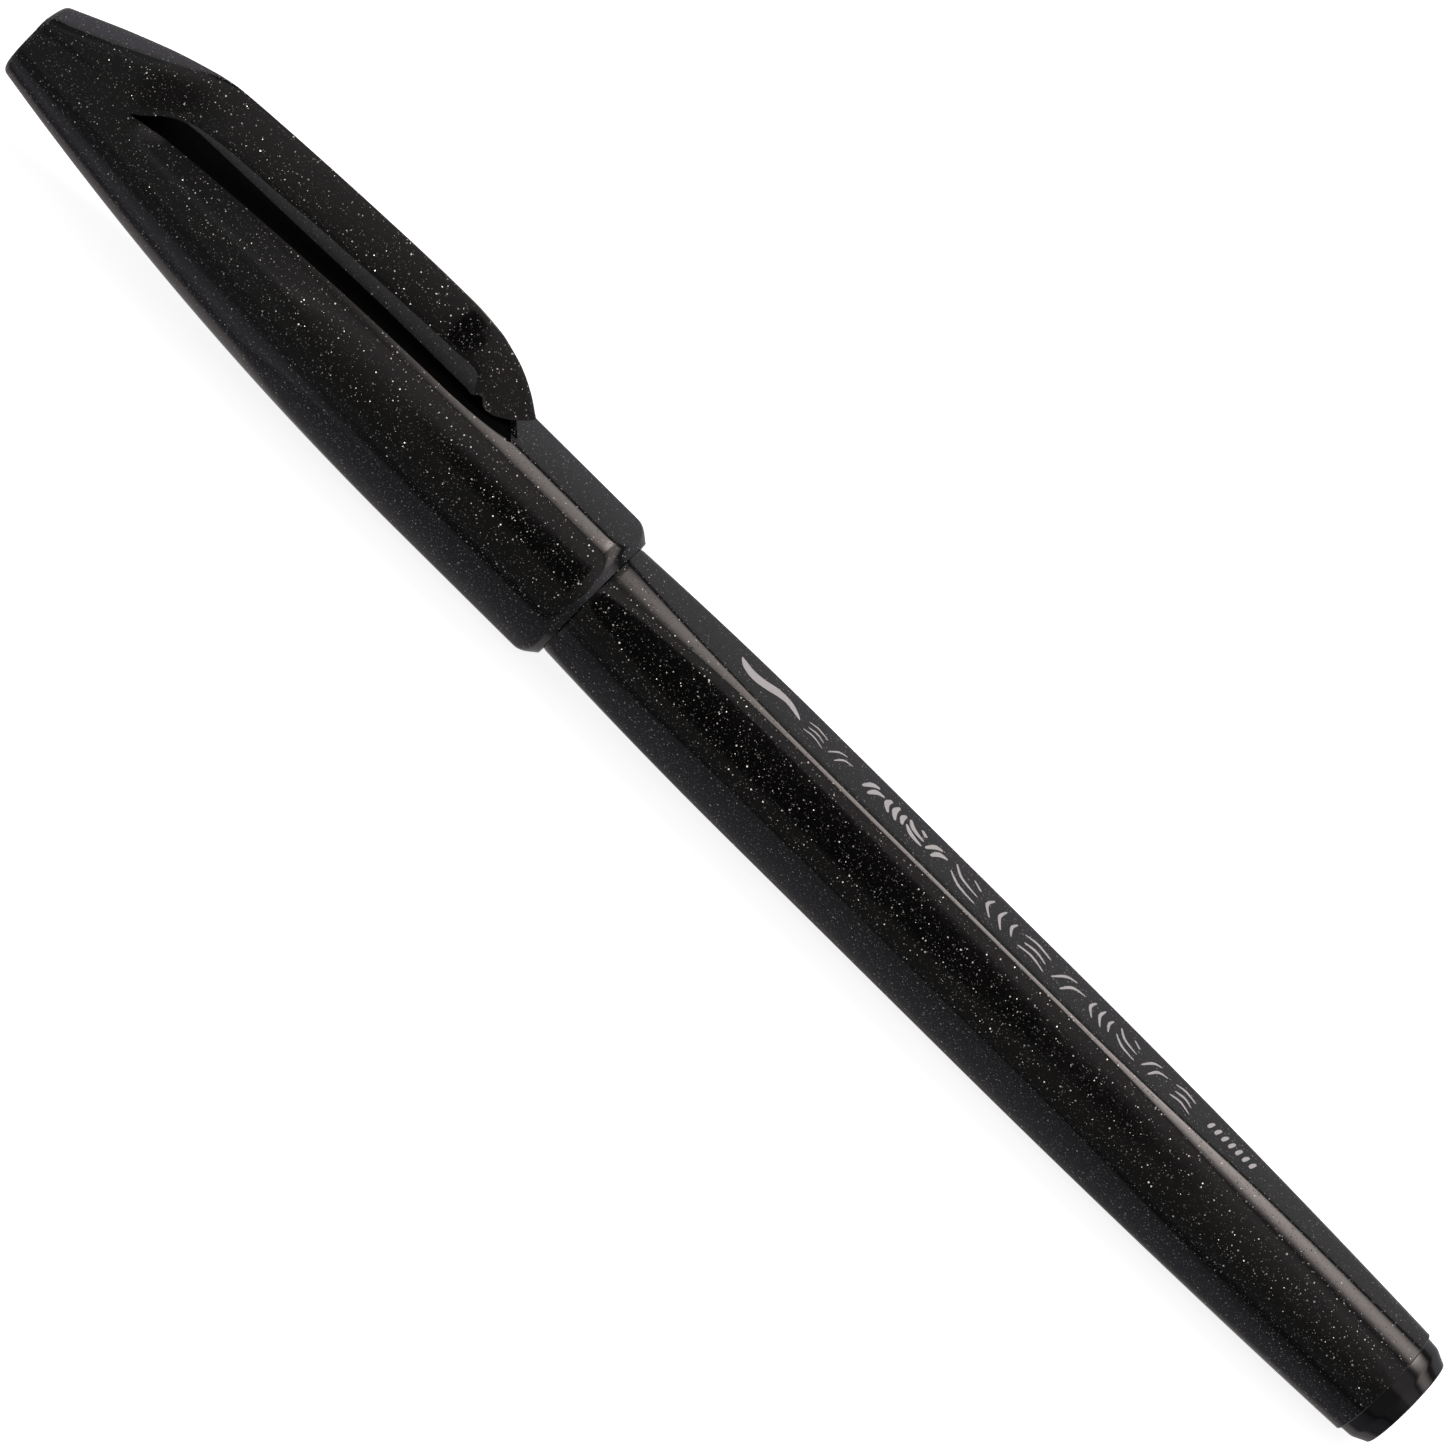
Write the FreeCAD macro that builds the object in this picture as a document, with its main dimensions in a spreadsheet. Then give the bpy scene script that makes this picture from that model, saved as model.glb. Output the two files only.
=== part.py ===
import FreeCAD, Part
import math
import os
import Sketcher

# Capped brush-tip calligraphy marker.
# Each sub-part is drawn about its own X axis, with X measured from the crown end of the cap towards the
# tail, and is then placed so that the row's origin is under the middle of the marker: +X towards the tail,
# +Z up through the clip, Z = 0 at the cap's lowest flat.

doc = FreeCAD.newDocument("calligraphy_marker")
dims = doc.addObject("Spreadsheet::Sheet", "dims")

DRIVING_DIMENSIONS = [
    # whole marker
    ("overall_length", 138.0, "crown end to tail end"),
    ("cap_length", 56.4, "crown end to cap mouth"),
    ("barrel_end", 135.8, "crown end to the barrel's tail edge"),
    # cap, outside
    ("cap_radius", 6.33, "at the corners between the flats"),
    ("cap_half_flats", 5.81, "axis to each of the six flats"),
    ("cap_straight_from", 43.0, "the taper ends here"),
    ("cap_taper_run", 30.5, "from the clip's root to the straight stretch"),
    ("cap_taper_drop", 1.82, "radius lost over that run"),
    ("mouth_bevel_length", 1.1, ""),
    ("mouth_rim_radius", 5.45, "outer edge of the mouth's rim"),
    ("crown_edge_round", 0.45, ""),
    # ramp that leads from the crown end up to the clip's ridge
    ("clip_root", 12.5, "the clip is free from here on"),
    ("ramp_foot_height", 3.25, "above the axis, at the crown end"),
    ("ramp_top_height", 9.19, "above the axis, at the clip's root"),
    ("ramp_half_foot", 1.50, "half-width of the ramp at the crown end"),
    ("ramp_half_low", 1.58, "at three tenths of the way up"),
    ("ramp_half_middle", 1.30, "at six tenths"),
    ("ramp_half_high", 0.62, "at 0.84 of the way"),
    ("ramp_half_top", 0.05, "where it runs out into the ridge"),
    # clip
    ("clip_tip", 44.7, ""),
    ("clip_half_width", 1.9, ""),
    ("ridge_crest", 10.33, "highest point of the ridge above the axis"),
    ("ridge_crest_at", 35.0, ""),
    ("nose_shoulder_at", 40.1, "the ridge bends down to the tip from here"),
    ("nose_shoulder_height", 9.75, ""),
    ("nose_bow", 8.9, "bow of the ridge down to the tip"),
    ("tip_height", 7.06, ""),
    ("underside_at_root", 5.41, ""),
    ("underside_mid", 5.87, ""),
    ("underside_mid_at", 33.0, ""),
    ("contact_bump_at", 42.0, ""),
    ("contact_bump_height", 5.72, ""),
    ("contact_bump_run", 3.0, "from the level underside down to the bump"),
    ("roof_slope_run", 0.5, "sine part of a roof side: parallel to the next flat"),
    ("roof_slope_fall", 0.866, "cosine part of a roof side"),
    # recess under the clip
    ("recess_depth", 0.88, "below the cap's outer curve"),
    ("recess_start", 9.1, ""),
    ("recess_end", 43.1, ""),
    ("recess_step_run", 0.6, "length of the slope up to the landing pad"),
    ("recess_ceiling_run", 0.2, "level stretch of ceiling before the clip's root"),
    # cap, inside
    ("cavity_end", 11.0, "blind end of the cap's cavity"),
    ("cavity_end_radius", 2.53, ""),
    ("liner_seat_end", 33.5, "open end of the liner's seat"),
    ("liner_seat_radius", 3.48, ""),
    ("snap_room_radius", 4.2, "clear of the front section's bead"),
    ("snap_room_lead", 1.0, "cone from that room to the barrel's seat"),
    ("cap_bore_front", 4.55, "radius where the barrel's seat begins"),
    ("cap_bore_mouth", 5.12, "radius at the mouth"),
    # liner
    ("liner_wall", 0.55, ""),
    ("liner_gap", 0.03, "radial room in its seat"),
    ("seal_radius", 2.9, "liner's inside at the sealing band"),
    ("seal_from", 27.4, ""),
    ("seal_lead", 0.5, "length of the cone that leads to the band"),
    ("seal_lead_depth", 0.15, ""),
    # barrel, outside
    ("seat_start", 38.5, "front edge of the barrel, inside the cap"),
    ("seat_front_radius", 4.35, ""),
    ("seat_rear_radius", 4.93, "at the cap mouth"),
    ("mouth_step_run", 0.6, "from the seat out to the visible barrel"),
    ("barrel_front_radius", 5.0, "just behind the cap mouth"),
    ("barrel_radius", 5.4, "widest"),
    ("barrel_wide_from", 75.0, ""),
    ("barrel_wide_to", 98.0, ""),
    ("barrel_tail_radius", 4.681, ""),
    ("barrel_half_flats_front", 4.90, "axis to a flat at the seat's front edge"),
    ("barrel_half_flats_tail", 4.66, "axis to a flat at the tail edge"),
    # barrel, inside
    ("barrel_bore", 3.6, ""),
    ("front_bore", 3.48, "bore that takes the front section"),
    ("front_bore_end", 49.0, ""),
    # front section
    ("nose_start", 18.8, ""),
    ("nose_radius", 1.65, ""),
    ("nose_cone_end", 27.0, ""),
    ("nose_cone_radius", 2.6, ""),
    ("seal_band_radius", 2.85, ""),
    ("seal_band_lead", 0.5, "length of the step up to the band"),
    ("grip_radius", 3.6, ""),
    ("grip_length", 4.3, "up to the barrel's front edge"),
    ("grip_lead", 0.4, "length of the step up to the grip"),
    ("bead_radius", 3.75, "snap bead"),
    ("bead_setback", 3.0, "bead's crest to the barrel's front edge"),
    ("bead_half_width", 0.4, ""),
    ("flange_radius", 4.1, "butts on the barrel's front edge"),
    ("flange_thickness", 0.7, ""),
    ("spigot_radius", 3.46, ""),
    # nib
    ("nib_tip", 13.0, ""),
    ("nib_tip_radius", 0.16, ""),
    ("nib_radius", 1.25, ""),
    ("nib_bow", 14.0, "bow of the tip along the axis"),
    ("stem_radius", 1.0, ""),
    ("stem_bore", 1.03, ""),
    ("stem_end", 53.5, ""),
    # ink store
    ("core_radius", 3.3, ""),
    ("film_inner", 3.33, ""),
    ("film_outer", 3.45, ""),
    # tail plug
    ("plug_start", 126.0, ""),
    ("plug_spigot_radius", 3.57, ""),
    ("plug_radius", 4.46, ""),
    ("plug_bevel_from", 136.85, ""),
    ("plug_bevel_to", 137.75, ""),
    ("plug_bevel_radius", 3.97, ""),
    ("plug_end_radius", 3.92, "before its edge is rounded"),
    ("plug_end_round", 0.2, ""),
    # drawing aid
    ("clear_outside", 14.0, "beyond everything, for cuts that start outside"),
]


def fill_sheet():
    """Write every driving dimension into the sheet with its alias."""
    for number, (alias, value, remark) in enumerate(DRIVING_DIMENSIONS, start=1):
        dims.set(f"A{number}", alias)
        dims.set(f"B{number}", str(value))
        dims.set(f"C{number}", remark)
        dims.setAlias(f"B{number}", alias)
    doc.recompute()


fill_sheet()


def size(alias):
    """The current value of one cell of the sheet."""
    return float(dims.get(alias))


def bound(alias):
    """The expression that follows one cell of the sheet."""
    return f"<<dims>>.{alias}"


def evaluate(expression):
    """Work out an expression over the sheet's cells through the document itself."""
    return float(dims.evalExpression(expression))


def new_body(name):
    """An empty body, placed so that the marker's middle is over the row's origin."""
    body = doc.addObject("PartDesign::Body", name)
    body.Label = name
    body.setExpression("Placement.Base.x", f"-{bound('overall_length')} / 2")
    body.setExpression("Placement.Base.z", bound("cap_half_flats"))
    return body


def origin_plane(body, role):
    """One of the body's own origin planes."""
    return next(item for item in body.Origin.OriginFeatures if item.Role == role)


def new_sketch(body, name, role):
    """A sketch on one of the body's origin planes."""
    sketch = body.newObject("Sketcher::SketchObject", name)
    sketch.AttachmentSupport = [(origin_plane(body, role), "")]
    sketch.MapMode = "FlatFace"
    return sketch


def hold_point(sketch, edge, end, across, along):
    """Fix one end of an edge by two expressions; a plain 0 puts the point on the sketch's axis."""
    for kind, expression, axis in (("DistanceX", across, -2), ("DistanceY", along, -1)):
        if expression == "0":
            sketch.addConstraint(Sketcher.Constraint("PointOnObject", edge, end, axis))
        else:
            held = Sketcher.Constraint(kind, -1, 1, edge, end, evaluate(expression))
            index = sketch.addConstraint(held)
            sketch.setExpression(f"Constraints[{index}]", expression)


def outline(sketch, corners, arcs=None):
    """Close a wire through corners given as pairs of expressions.

    arcs maps the number of a side to the expression of its radius; a negative radius bulges the other way.
    """
    arcs = arcs or {}
    places = [FreeCAD.Vector(evaluate(x), evaluate(y), 0) for x, y in corners]
    count = len(places)
    first = sketch.GeometryCount
    for side, start in enumerate(places):
        end = places[(side + 1) % count]
        if side in arcs:
            sketch.addGeometry(arc_between(start, end, evaluate(arcs[side])), False)
        else:
            sketch.addGeometry(Part.LineSegment(start, end), False)
    for side in range(count):
        forward = first + side
        following = first + (side + 1) % count
        last_end = edge_end(arcs, side, last=True)
        first_end = edge_end(arcs, (side + 1) % count, last=False)
        sketch.addConstraint(Sketcher.Constraint("Coincident", forward, last_end, following, first_end))
    for side, (x, y) in enumerate(corners):
        hold_point(sketch, first + side, edge_end(arcs, side, last=False), x, y)
    for side, radius in arcs.items():
        index = sketch.addConstraint(Sketcher.Constraint("Radius", first + side, abs(evaluate(radius))))
        sketch.setExpression(f"Constraints[{index}]", radius.lstrip("-"))


def arc_between(start, end, radius):
    """The short arc of a given radius between two points; a positive radius bulges to the left."""
    chord = end - start
    half = chord.Length / 2
    depth = math.sqrt(radius * radius - half * half)
    normal = FreeCAD.Vector(chord.y, -chord.x, 0).normalize()
    centre = (start + end) * 0.5 + normal * math.copysign(depth, radius)
    middle = centre + ((start + end) * 0.5 - centre).normalize() * abs(radius)
    return Part.Arc(start, middle, end)


def edge_end(arcs, side, last):
    """Which end of a side's edge, 1 or 2, is at its last (or first) corner: arcs run anticlockwise."""
    runs_backwards = side in arcs and evaluate(arcs[side]) > 0
    return 1 if last == runs_backwards else 2


def revolve(body, name, corners, arcs=None, cut=False):
    """Turn a closed outline in the X-Z plane about the X axis, as material or as a cut."""
    sketch = new_sketch(body, f"{name}_profile", "XZ_Plane")
    outline(sketch, corners, arcs)
    doc.recompute()
    kind = "PartDesign::Groove" if cut else "PartDesign::Revolution"
    feature = body.newObject(kind, name)
    feature.Profile = sketch
    feature.ReferenceAxis = (sketch, ["H_Axis"])
    feature.Angle = 360.0
    doc.recompute()
    return feature


def fillet(body, name, base, radius, chosen):
    """Round the edges of a feature that a test picks out by their bounding boxes."""
    edges = [f"Edge{n}" for n, edge in enumerate(base.Shape.Edges, start=1) if chosen(edge.BoundBox)]
    feature = body.newObject("PartDesign::Fillet", name)
    feature.Base = (base, edges)
    feature.setExpression("Radius", radius)
    doc.recompute()
    return feature


def bow_radius(run, drop):
    """The radius of an arc that is level at one end and falls by drop over run."""
    return f"(({run})^2 + ({drop})^2) / (2 * ({drop}))"


def cap_curve(station):
    """The cap's outer radius at a station of its taper."""
    reach = f"({bound('cap_straight_from')} - ({station}))"
    return f"({bound('cap_radius')} - ({CAP_BOW}) + sqrt(({CAP_BOW})^2 - {reach}^2))"


CAP_BOW = bow_radius(bound("cap_taper_run"), bound("cap_taper_drop"))
OUTSIDE = bound("clear_outside")
HEXAGON_SIDES = 6
NEARLY_ZERO = 0.01


def hexagon_corners(half_flats):
    """Corner expressions of a hexagon with flats above and below, in the Y-Z plane."""
    corners = []
    for corner in range(HEXAGON_SIDES):
        angle = f"{corner * 360 // HEXAGON_SIDES} deg"
        reach = f"({half_flats}) / cos(30 deg)"
        across = f"{reach} * cos({angle})"
        up = "0" if corner % 3 == 0 else f"{reach} * sin({angle})"
        corners.append((across, up))
    return corners


def section_sketch(body, name, station):
    """A sketch across the axis at a station along it."""
    sketch = new_sketch(body, name, "YZ_Plane")
    sketch.setExpression("AttachmentOffset.Base.z", station)
    doc.recompute()
    return sketch


def make_cap_shell():
    """The cap: tapered round crown, six flats, bevelled mouth, ramp up to the clip, recess and bore."""
    body = new_body("cap_shell")
    root = bound("clip_root")
    mouth = bound("cap_length")
    revolve(body, "taper_and_skirt", [
        (root, "0"),
        (root, cap_curve(root)),
        (bound("cap_straight_from"), bound("cap_radius")),
        (f"{mouth} - {bound('mouth_bevel_length')}", bound("cap_radius")),
        (mouth, bound("mouth_rim_radius")),
        (mouth, "0"),
    ], arcs={1: CAP_BOW})
    cut_cap_flats(body, root, mouth)
    loft_crown(body)
    cut_recess(body)
    revolve(body, "cavity", [
        (bound("cavity_end"), "0"),
        (bound("cavity_end"), bound("cavity_end_radius")),
        (bound("liner_seat_end"), bound("liner_seat_radius")),
        (bound("liner_seat_end"), bound("snap_room_radius")),
        (f"{bound('seat_start')} - {bound('snap_room_lead')}", bound("snap_room_radius")),
        (bound("seat_start"), bound("cap_bore_front")),
        (mouth, bound("cap_bore_mouth")),
        (mouth, "0"),
    ], cut=True)
    fillet(body, "crown_edge", body.Tip, bound("crown_edge_round"), lambda box: box.XMax < NEARLY_ZERO)
    return body


def cut_cap_flats(body, start, end):
    """Take off what stands proud of the six flats."""
    sketch = section_sketch(body, "flats_section", start)
    outline(sketch, hexagon_corners(bound("cap_half_flats")))
    circle = Part.Circle(FreeCAD.Vector(), FreeCAD.Vector(0, 0, 1), size("clear_outside"))
    ring = sketch.addGeometry(circle, False)
    sketch.addConstraint(Sketcher.Constraint("Coincident", ring, 3, -1, 1))
    held = sketch.addConstraint(Sketcher.Constraint("Radius", ring, size("clear_outside")))
    sketch.setExpression(f"Constraints[{held}]", OUTSIDE)
    pocket = body.newObject("PartDesign::Pocket", "six_flats")
    pocket.Profile = sketch
    pocket.setExpression("Length", f"{end} - {start}")
    pocket.Reversed = True
    doc.recompute()


# Share of the way from the crown end to the clip's root, and the cell with the ramp's half-width there.
CROWN_STATIONS = [
    (0.0, "ramp_half_foot"),
    (0.3, "ramp_half_low"),
    (0.6, "ramp_half_middle"),
    (0.84, "ramp_half_high"),
    (1.0, "ramp_half_top"),
]


def loft_crown(body):
    """The crown: at each station a circle with two tangents that rise to the ramp's edges."""
    sections = []
    for number, (share, half_width) in enumerate(CROWN_STATIONS):
        station = f"{bound('clip_root')} * {share}"
        rise = f"({bound('ramp_top_height')} - {bound('ramp_foot_height')}) * {share}"
        ramp_height = f"{bound('ramp_foot_height')} + {rise}"
        sketch = section_sketch(body, f"crown_section_{number}", station)
        draw_crown_section(sketch, cap_curve(station), bound(half_width), ramp_height)
        sections.append(sketch)
    doc.recompute()
    loft = body.newObject("PartDesign::AdditiveLoft", "crown")
    loft.Profile = sections[0]
    loft.Sections = sections[1:]
    loft.Ruled = False
    doc.recompute()


def draw_crown_section(sketch, radius, half_width, height):
    """A circle's lower arc, two tangents from it, and the short level top between them."""
    r, w, top = evaluate(radius), evaluate(half_width), evaluate(height)
    turn = math.atan2(w, top) + math.acos(r / math.hypot(w, top))
    touch = FreeCAD.Vector(r * math.sin(turn), r * math.cos(turn), 0)
    corner = FreeCAD.Vector(w, top, 0)
    mirrored_touch = FreeCAD.Vector(-touch.x, touch.y, 0)
    mirrored_corner = FreeCAD.Vector(-w, top, 0)
    arc = sketch.addGeometry(Part.Arc(mirrored_touch, FreeCAD.Vector(0, -r, 0), touch), False)
    right = sketch.addGeometry(Part.LineSegment(touch, corner), False)
    level = sketch.addGeometry(Part.LineSegment(corner, mirrored_corner), False)
    left = sketch.addGeometry(Part.LineSegment(mirrored_corner, mirrored_touch), False)
    sketch.addConstraint(Sketcher.Constraint("Tangent", arc, 2, right, 1))
    sketch.addConstraint(Sketcher.Constraint("Coincident", right, 2, level, 1))
    sketch.addConstraint(Sketcher.Constraint("Coincident", level, 2, left, 1))
    sketch.addConstraint(Sketcher.Constraint("Tangent", arc, 1, left, 2))
    sketch.addConstraint(Sketcher.Constraint("Coincident", arc, 3, -1, 1))
    index = sketch.addConstraint(Sketcher.Constraint("Radius", arc, r))
    sketch.setExpression(f"Constraints[{index}]", radius)
    hold_point(sketch, level, 1, half_width, height)
    sketch.addConstraint(Sketcher.Constraint("Symmetric", level, 1, level, 2, -2))


def cut_recess(body):
    """The recess under the clip: its floor follows the cap's curve and ends in a slope to the landing pad."""
    start, end = bound("recess_start"), bound("recess_end")
    depth = bound("recess_depth")
    root = bound("clip_root")
    pad = f"{end} + {bound('recess_step_run')}"
    sketch = new_sketch(body, "recess_profile", "XZ_Plane")
    outline(sketch, [
        (start, f"{cap_curve(start)} - {depth}"),
        (f"{root} - {bound('recess_ceiling_run')}", bound("underside_at_root")),
        (root, bound("underside_at_root")),
        (root, OUTSIDE),
        (pad, OUTSIDE),
        (pad, bound("cap_half_flats")),
        (end, f"{bound('cap_radius')} - {depth}"),
    ], arcs={6: f"-({CAP_BOW})"})
    pocket = body.newObject("PartDesign::Pocket", "recess")
    pocket.Profile = sketch
    pocket.setExpression("Length", f"2 * {OUTSIDE}")
    pocket.Midplane = True
    doc.recompute()


def make_pocket_clip():
    """The clip: a bar with a pointed nose, and a roof-shaped top with sides parallel to the next flats."""
    body = new_body("pocket_clip")
    root, crest_at = bound("clip_root"), bound("ridge_crest_at")
    ridge_bow = bow_radius(f"{crest_at} - {root}", f"{bound('ridge_crest')} - {bound('ramp_top_height')}")
    shoulder_run = f"{bound('nose_shoulder_at')} - {crest_at}"
    shoulder_bow = bow_radius(shoulder_run, f"{bound('ridge_crest')} - {bound('nose_shoulder_height')}")
    ridge = [
        (root, bound("ramp_top_height")),
        (crest_at, bound("ridge_crest")),
        (bound("nose_shoulder_at"), bound("nose_shoulder_height")),
        (bound("clip_tip"), bound("tip_height")),
    ]
    ridge_arcs = {0: ridge_bow, 1: shoulder_bow, 2: bound("nose_bow")}
    side = new_sketch(body, "side_profile", "XZ_Plane")
    outline(side, ridge + [
        (bound("contact_bump_at"), bound("contact_bump_height")),
        (f"{bound('contact_bump_at')} - {bound('contact_bump_run')}", bound("underside_mid")),
        (bound("underside_mid_at"), bound("underside_mid")),
        (root, bound("underside_at_root")),
    ], arcs=ridge_arcs)
    pad = body.newObject("PartDesign::Pad", "bar")
    pad.Profile = side
    pad.setExpression("Length", f"2 * {bound('clip_half_width')}")
    pad.Midplane = True
    doc.recompute()
    for name, hand in (("near_roof_side", -1), ("far_roof_side", 1)):
        above = new_sketch(body, f"{name}_profile", "XZ_Plane")
        outline(above, ridge + [(bound("clip_tip"), OUTSIDE), (root, OUTSIDE)], arcs=ridge_arcs)
        pocket = body.newObject("PartDesign::Pocket", name)
        pocket.Profile = above
        pocket.UseCustomVector = True
        pocket.Direction = (0, hand * size("roof_slope_run"), -size("roof_slope_fall"))
        pocket.AlongSketchNormal = False
        pocket.setExpression("Length", OUTSIDE)
        doc.recompute()
    return body


def make_inner_cap():
    """The liner: a closed-end cup that tapers like its seat and seals on the front section."""
    body = new_body("inner_cap")
    closed, mouth = bound("cavity_end"), bound("liner_seat_end")
    gap, wall, band = bound("liner_gap"), bound("liner_wall"), bound("seal_radius")
    revolve(body, "cup", [
        (closed, "0"),
        (closed, f"{bound('cavity_end_radius')} - {gap}"),
        (mouth, f"{bound('liner_seat_radius')} - {gap}"),
        (mouth, band),
        (bound("seal_from"), band),
        (f"{bound('seal_from')} - {bound('seal_lead')}", f"{band} - {bound('seal_lead_depth')}"),
        (f"{closed} + {wall}", f"{bound('cavity_end_radius')} - {gap} - {wall}"),
        (f"{closed} + {wall}", "0"),
    ])
    return body


def make_barrel():
    """The barrel: a tapered six-sided tube, turned to a bow along its corners, with a round seat in front."""
    body = new_body("barrel")
    front, tail, mouth = bound("seat_start"), bound("barrel_end"), bound("cap_length")
    flats = section_sketch(body, "flats_section", front)
    outline(flats, hexagon_corners(bound("barrel_half_flats_front")))
    prism = body.newObject("PartDesign::Pad", "six_flats")
    prism.Profile = flats
    prism.setExpression("Length", f"{tail} - {front}")
    narrowing = f"{bound('barrel_half_flats_front')} - {bound('barrel_half_flats_tail')}"
    prism.setExpression("TaperAngle", f"-atan(({narrowing}) / ({tail} - {front}))")
    doc.recompute()
    wide_from, wide_to, widest = bound("barrel_wide_from"), bound("barrel_wide_to"), bound("barrel_radius")
    visible = f"({mouth} + {bound('mouth_step_run')})"
    front_bow = bow_radius(f"{wide_from} - {visible}", f"{widest} - {bound('barrel_front_radius')}")
    tail_bow = bow_radius(f"{tail} - {wide_to}", f"{widest} - {bound('barrel_tail_radius')}")
    revolve(body, "rounded_corners", [
        (front, bound("seat_front_radius")),
        (mouth, bound("seat_rear_radius")),
        (visible, bound("barrel_front_radius")),
        (wide_from, widest),
        (wide_to, widest),
        (tail, bound("barrel_tail_radius")),
        (tail, OUTSIDE),
        (front, OUTSIDE),
    ], arcs={2: front_bow, 4: tail_bow}, cut=True)
    revolve(body, "bore", [
        (front, "0"),
        (front, bound("front_bore")),
        (bound("front_bore_end"), bound("front_bore")),
        (bound("front_bore_end"), bound("barrel_bore")),
        (tail, bound("barrel_bore")),
        (tail, "0"),
    ], cut=True)
    return body


def make_front_section():
    """The grip and nib holder: a cone, the band that the liner seals on, the snap bead and the spigot."""
    body = new_body("front_section")
    seat, stem_bore = bound("seat_start"), bound("stem_bore")
    grip_start = f"{seat} - {bound('grip_length')}"
    bead_at, bead_half = f"{seat} - {bound('bead_setback')}", bound("bead_half_width")
    flange_start = f"{seat} - {bound('flange_thickness')}"
    band, grip = bound("seal_band_radius"), bound("grip_radius")
    revolve(body, "turned_section", [
        (bound("nose_start"), stem_bore),
        (bound("nose_start"), bound("nose_radius")),
        (bound("nose_cone_end"), bound("nose_cone_radius")),
        (f"{bound('nose_cone_end')} + {bound('seal_band_lead')}", band),
        (f"{grip_start} - {bound('grip_lead')}", band),
        (grip_start, grip),
        (f"{bead_at} - {bead_half}", grip),
        (bead_at, bound("bead_radius")),
        (f"{bead_at} + {bead_half}", grip),
        (flange_start, grip),
        (flange_start, bound("flange_radius")),
        (seat, bound("flange_radius")),
        (seat, bound("spigot_radius")),
        (bound("front_bore_end"), bound("spigot_radius")),
        (bound("front_bore_end"), stem_bore),
    ])
    return body


def make_brush_nib():
    """The nib: a pointed brush tip with a shoulder, on a stem that reaches into the ink store."""
    body = new_body("brush_nib")
    tip, base = bound("nib_tip"), bound("nose_start")
    revolve(body, "tip_and_stem", [
        (tip, "0"),
        (tip, bound("nib_tip_radius")),
        (base, bound("nib_radius")),
        (base, bound("stem_radius")),
        (bound("stem_end"), bound("stem_radius")),
        (bound("stem_end"), "0"),
    ], arcs={1: bound("nib_bow")})
    return body


def make_ink_reservoir():
    """The fibre core, with the blind hole that the nib's stem is pushed into."""
    body = new_body("ink_reservoir")
    revolve(body, "core", [
        (bound("front_bore_end"), bound("stem_bore")),
        (bound("front_bore_end"), bound("core_radius")),
        (bound("plug_start"), bound("core_radius")),
        (bound("plug_start"), "0"),
        (bound("stem_end"), "0"),
        (bound("stem_end"), bound("stem_bore")),
    ])
    return body


def make_reservoir_film():
    """The film tube wrapped round the fibre core."""
    body = new_body("reservoir_film")
    revolve(body, "wrap", [
        (bound("front_bore_end"), bound("film_inner")),
        (bound("front_bore_end"), bound("film_outer")),
        (bound("plug_start"), bound("film_outer")),
        (bound("plug_start"), bound("film_inner")),
    ])
    return body


def make_tail_plug():
    """The plug in the tail: a long spigot, a short collar, a bevel and a rounded end."""
    body = new_body("tail_plug")
    edge, tail = bound("barrel_end"), bound("overall_length")
    turned = revolve(body, "turned_plug", [
        (bound("plug_start"), "0"),
        (bound("plug_start"), bound("plug_spigot_radius")),
        (edge, bound("plug_spigot_radius")),
        (edge, bound("plug_radius")),
        (bound("plug_bevel_from"), bound("plug_radius")),
        (bound("plug_bevel_to"), bound("plug_bevel_radius")),
        (tail, bound("plug_end_radius")),
        (tail, "0"),
    ])
    end = size("overall_length") - NEARLY_ZERO
    fillet(body, "end_edge", turned, bound("plug_end_round"), lambda box: box.XMin > end)
    return body


def report_failures():
    """Stop if any object of the document failed or any sub-part is not a sound solid."""
    doc.recompute()
    for item in doc.Objects:
        if "Invalid" in item.State or "Error" in item.State:
            raise RuntimeError(f"{item.Label} failed: {item.State}")
    for body in bodies:
        if body.Shape.isNull() or not body.Shape.isValid() or len(body.Shape.Solids) != 1:
            raise RuntimeError(f"{body.Label} is not one sound solid")


bodies = [
    make_cap_shell(),
    make_pocket_clip(),
    make_inner_cap(),
    make_barrel(),
    make_front_section(),
    make_brush_nib(),
    make_ink_reservoir(),
    make_reservoir_film(),
    make_tail_plug(),
]
report_failures()

os.makedirs("parts", exist_ok=True)
for body in bodies:
    body.Shape.exportStep(f"parts/{body.Label}.step")
    box = body.Shape.optimalBoundingBox()
    print(f"{body.Label}: {body.Shape.Volume:.1f} mm3, X {box.XMin:.2f}..{box.XMax:.2f}, "
          f"Y {box.YMin:.2f}..{box.YMax:.2f}, Z {box.ZMin:.2f}..{box.ZMax:.2f}")
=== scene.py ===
import math

import bmesh
import bpy
from mathutils import Matrix, Vector


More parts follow.
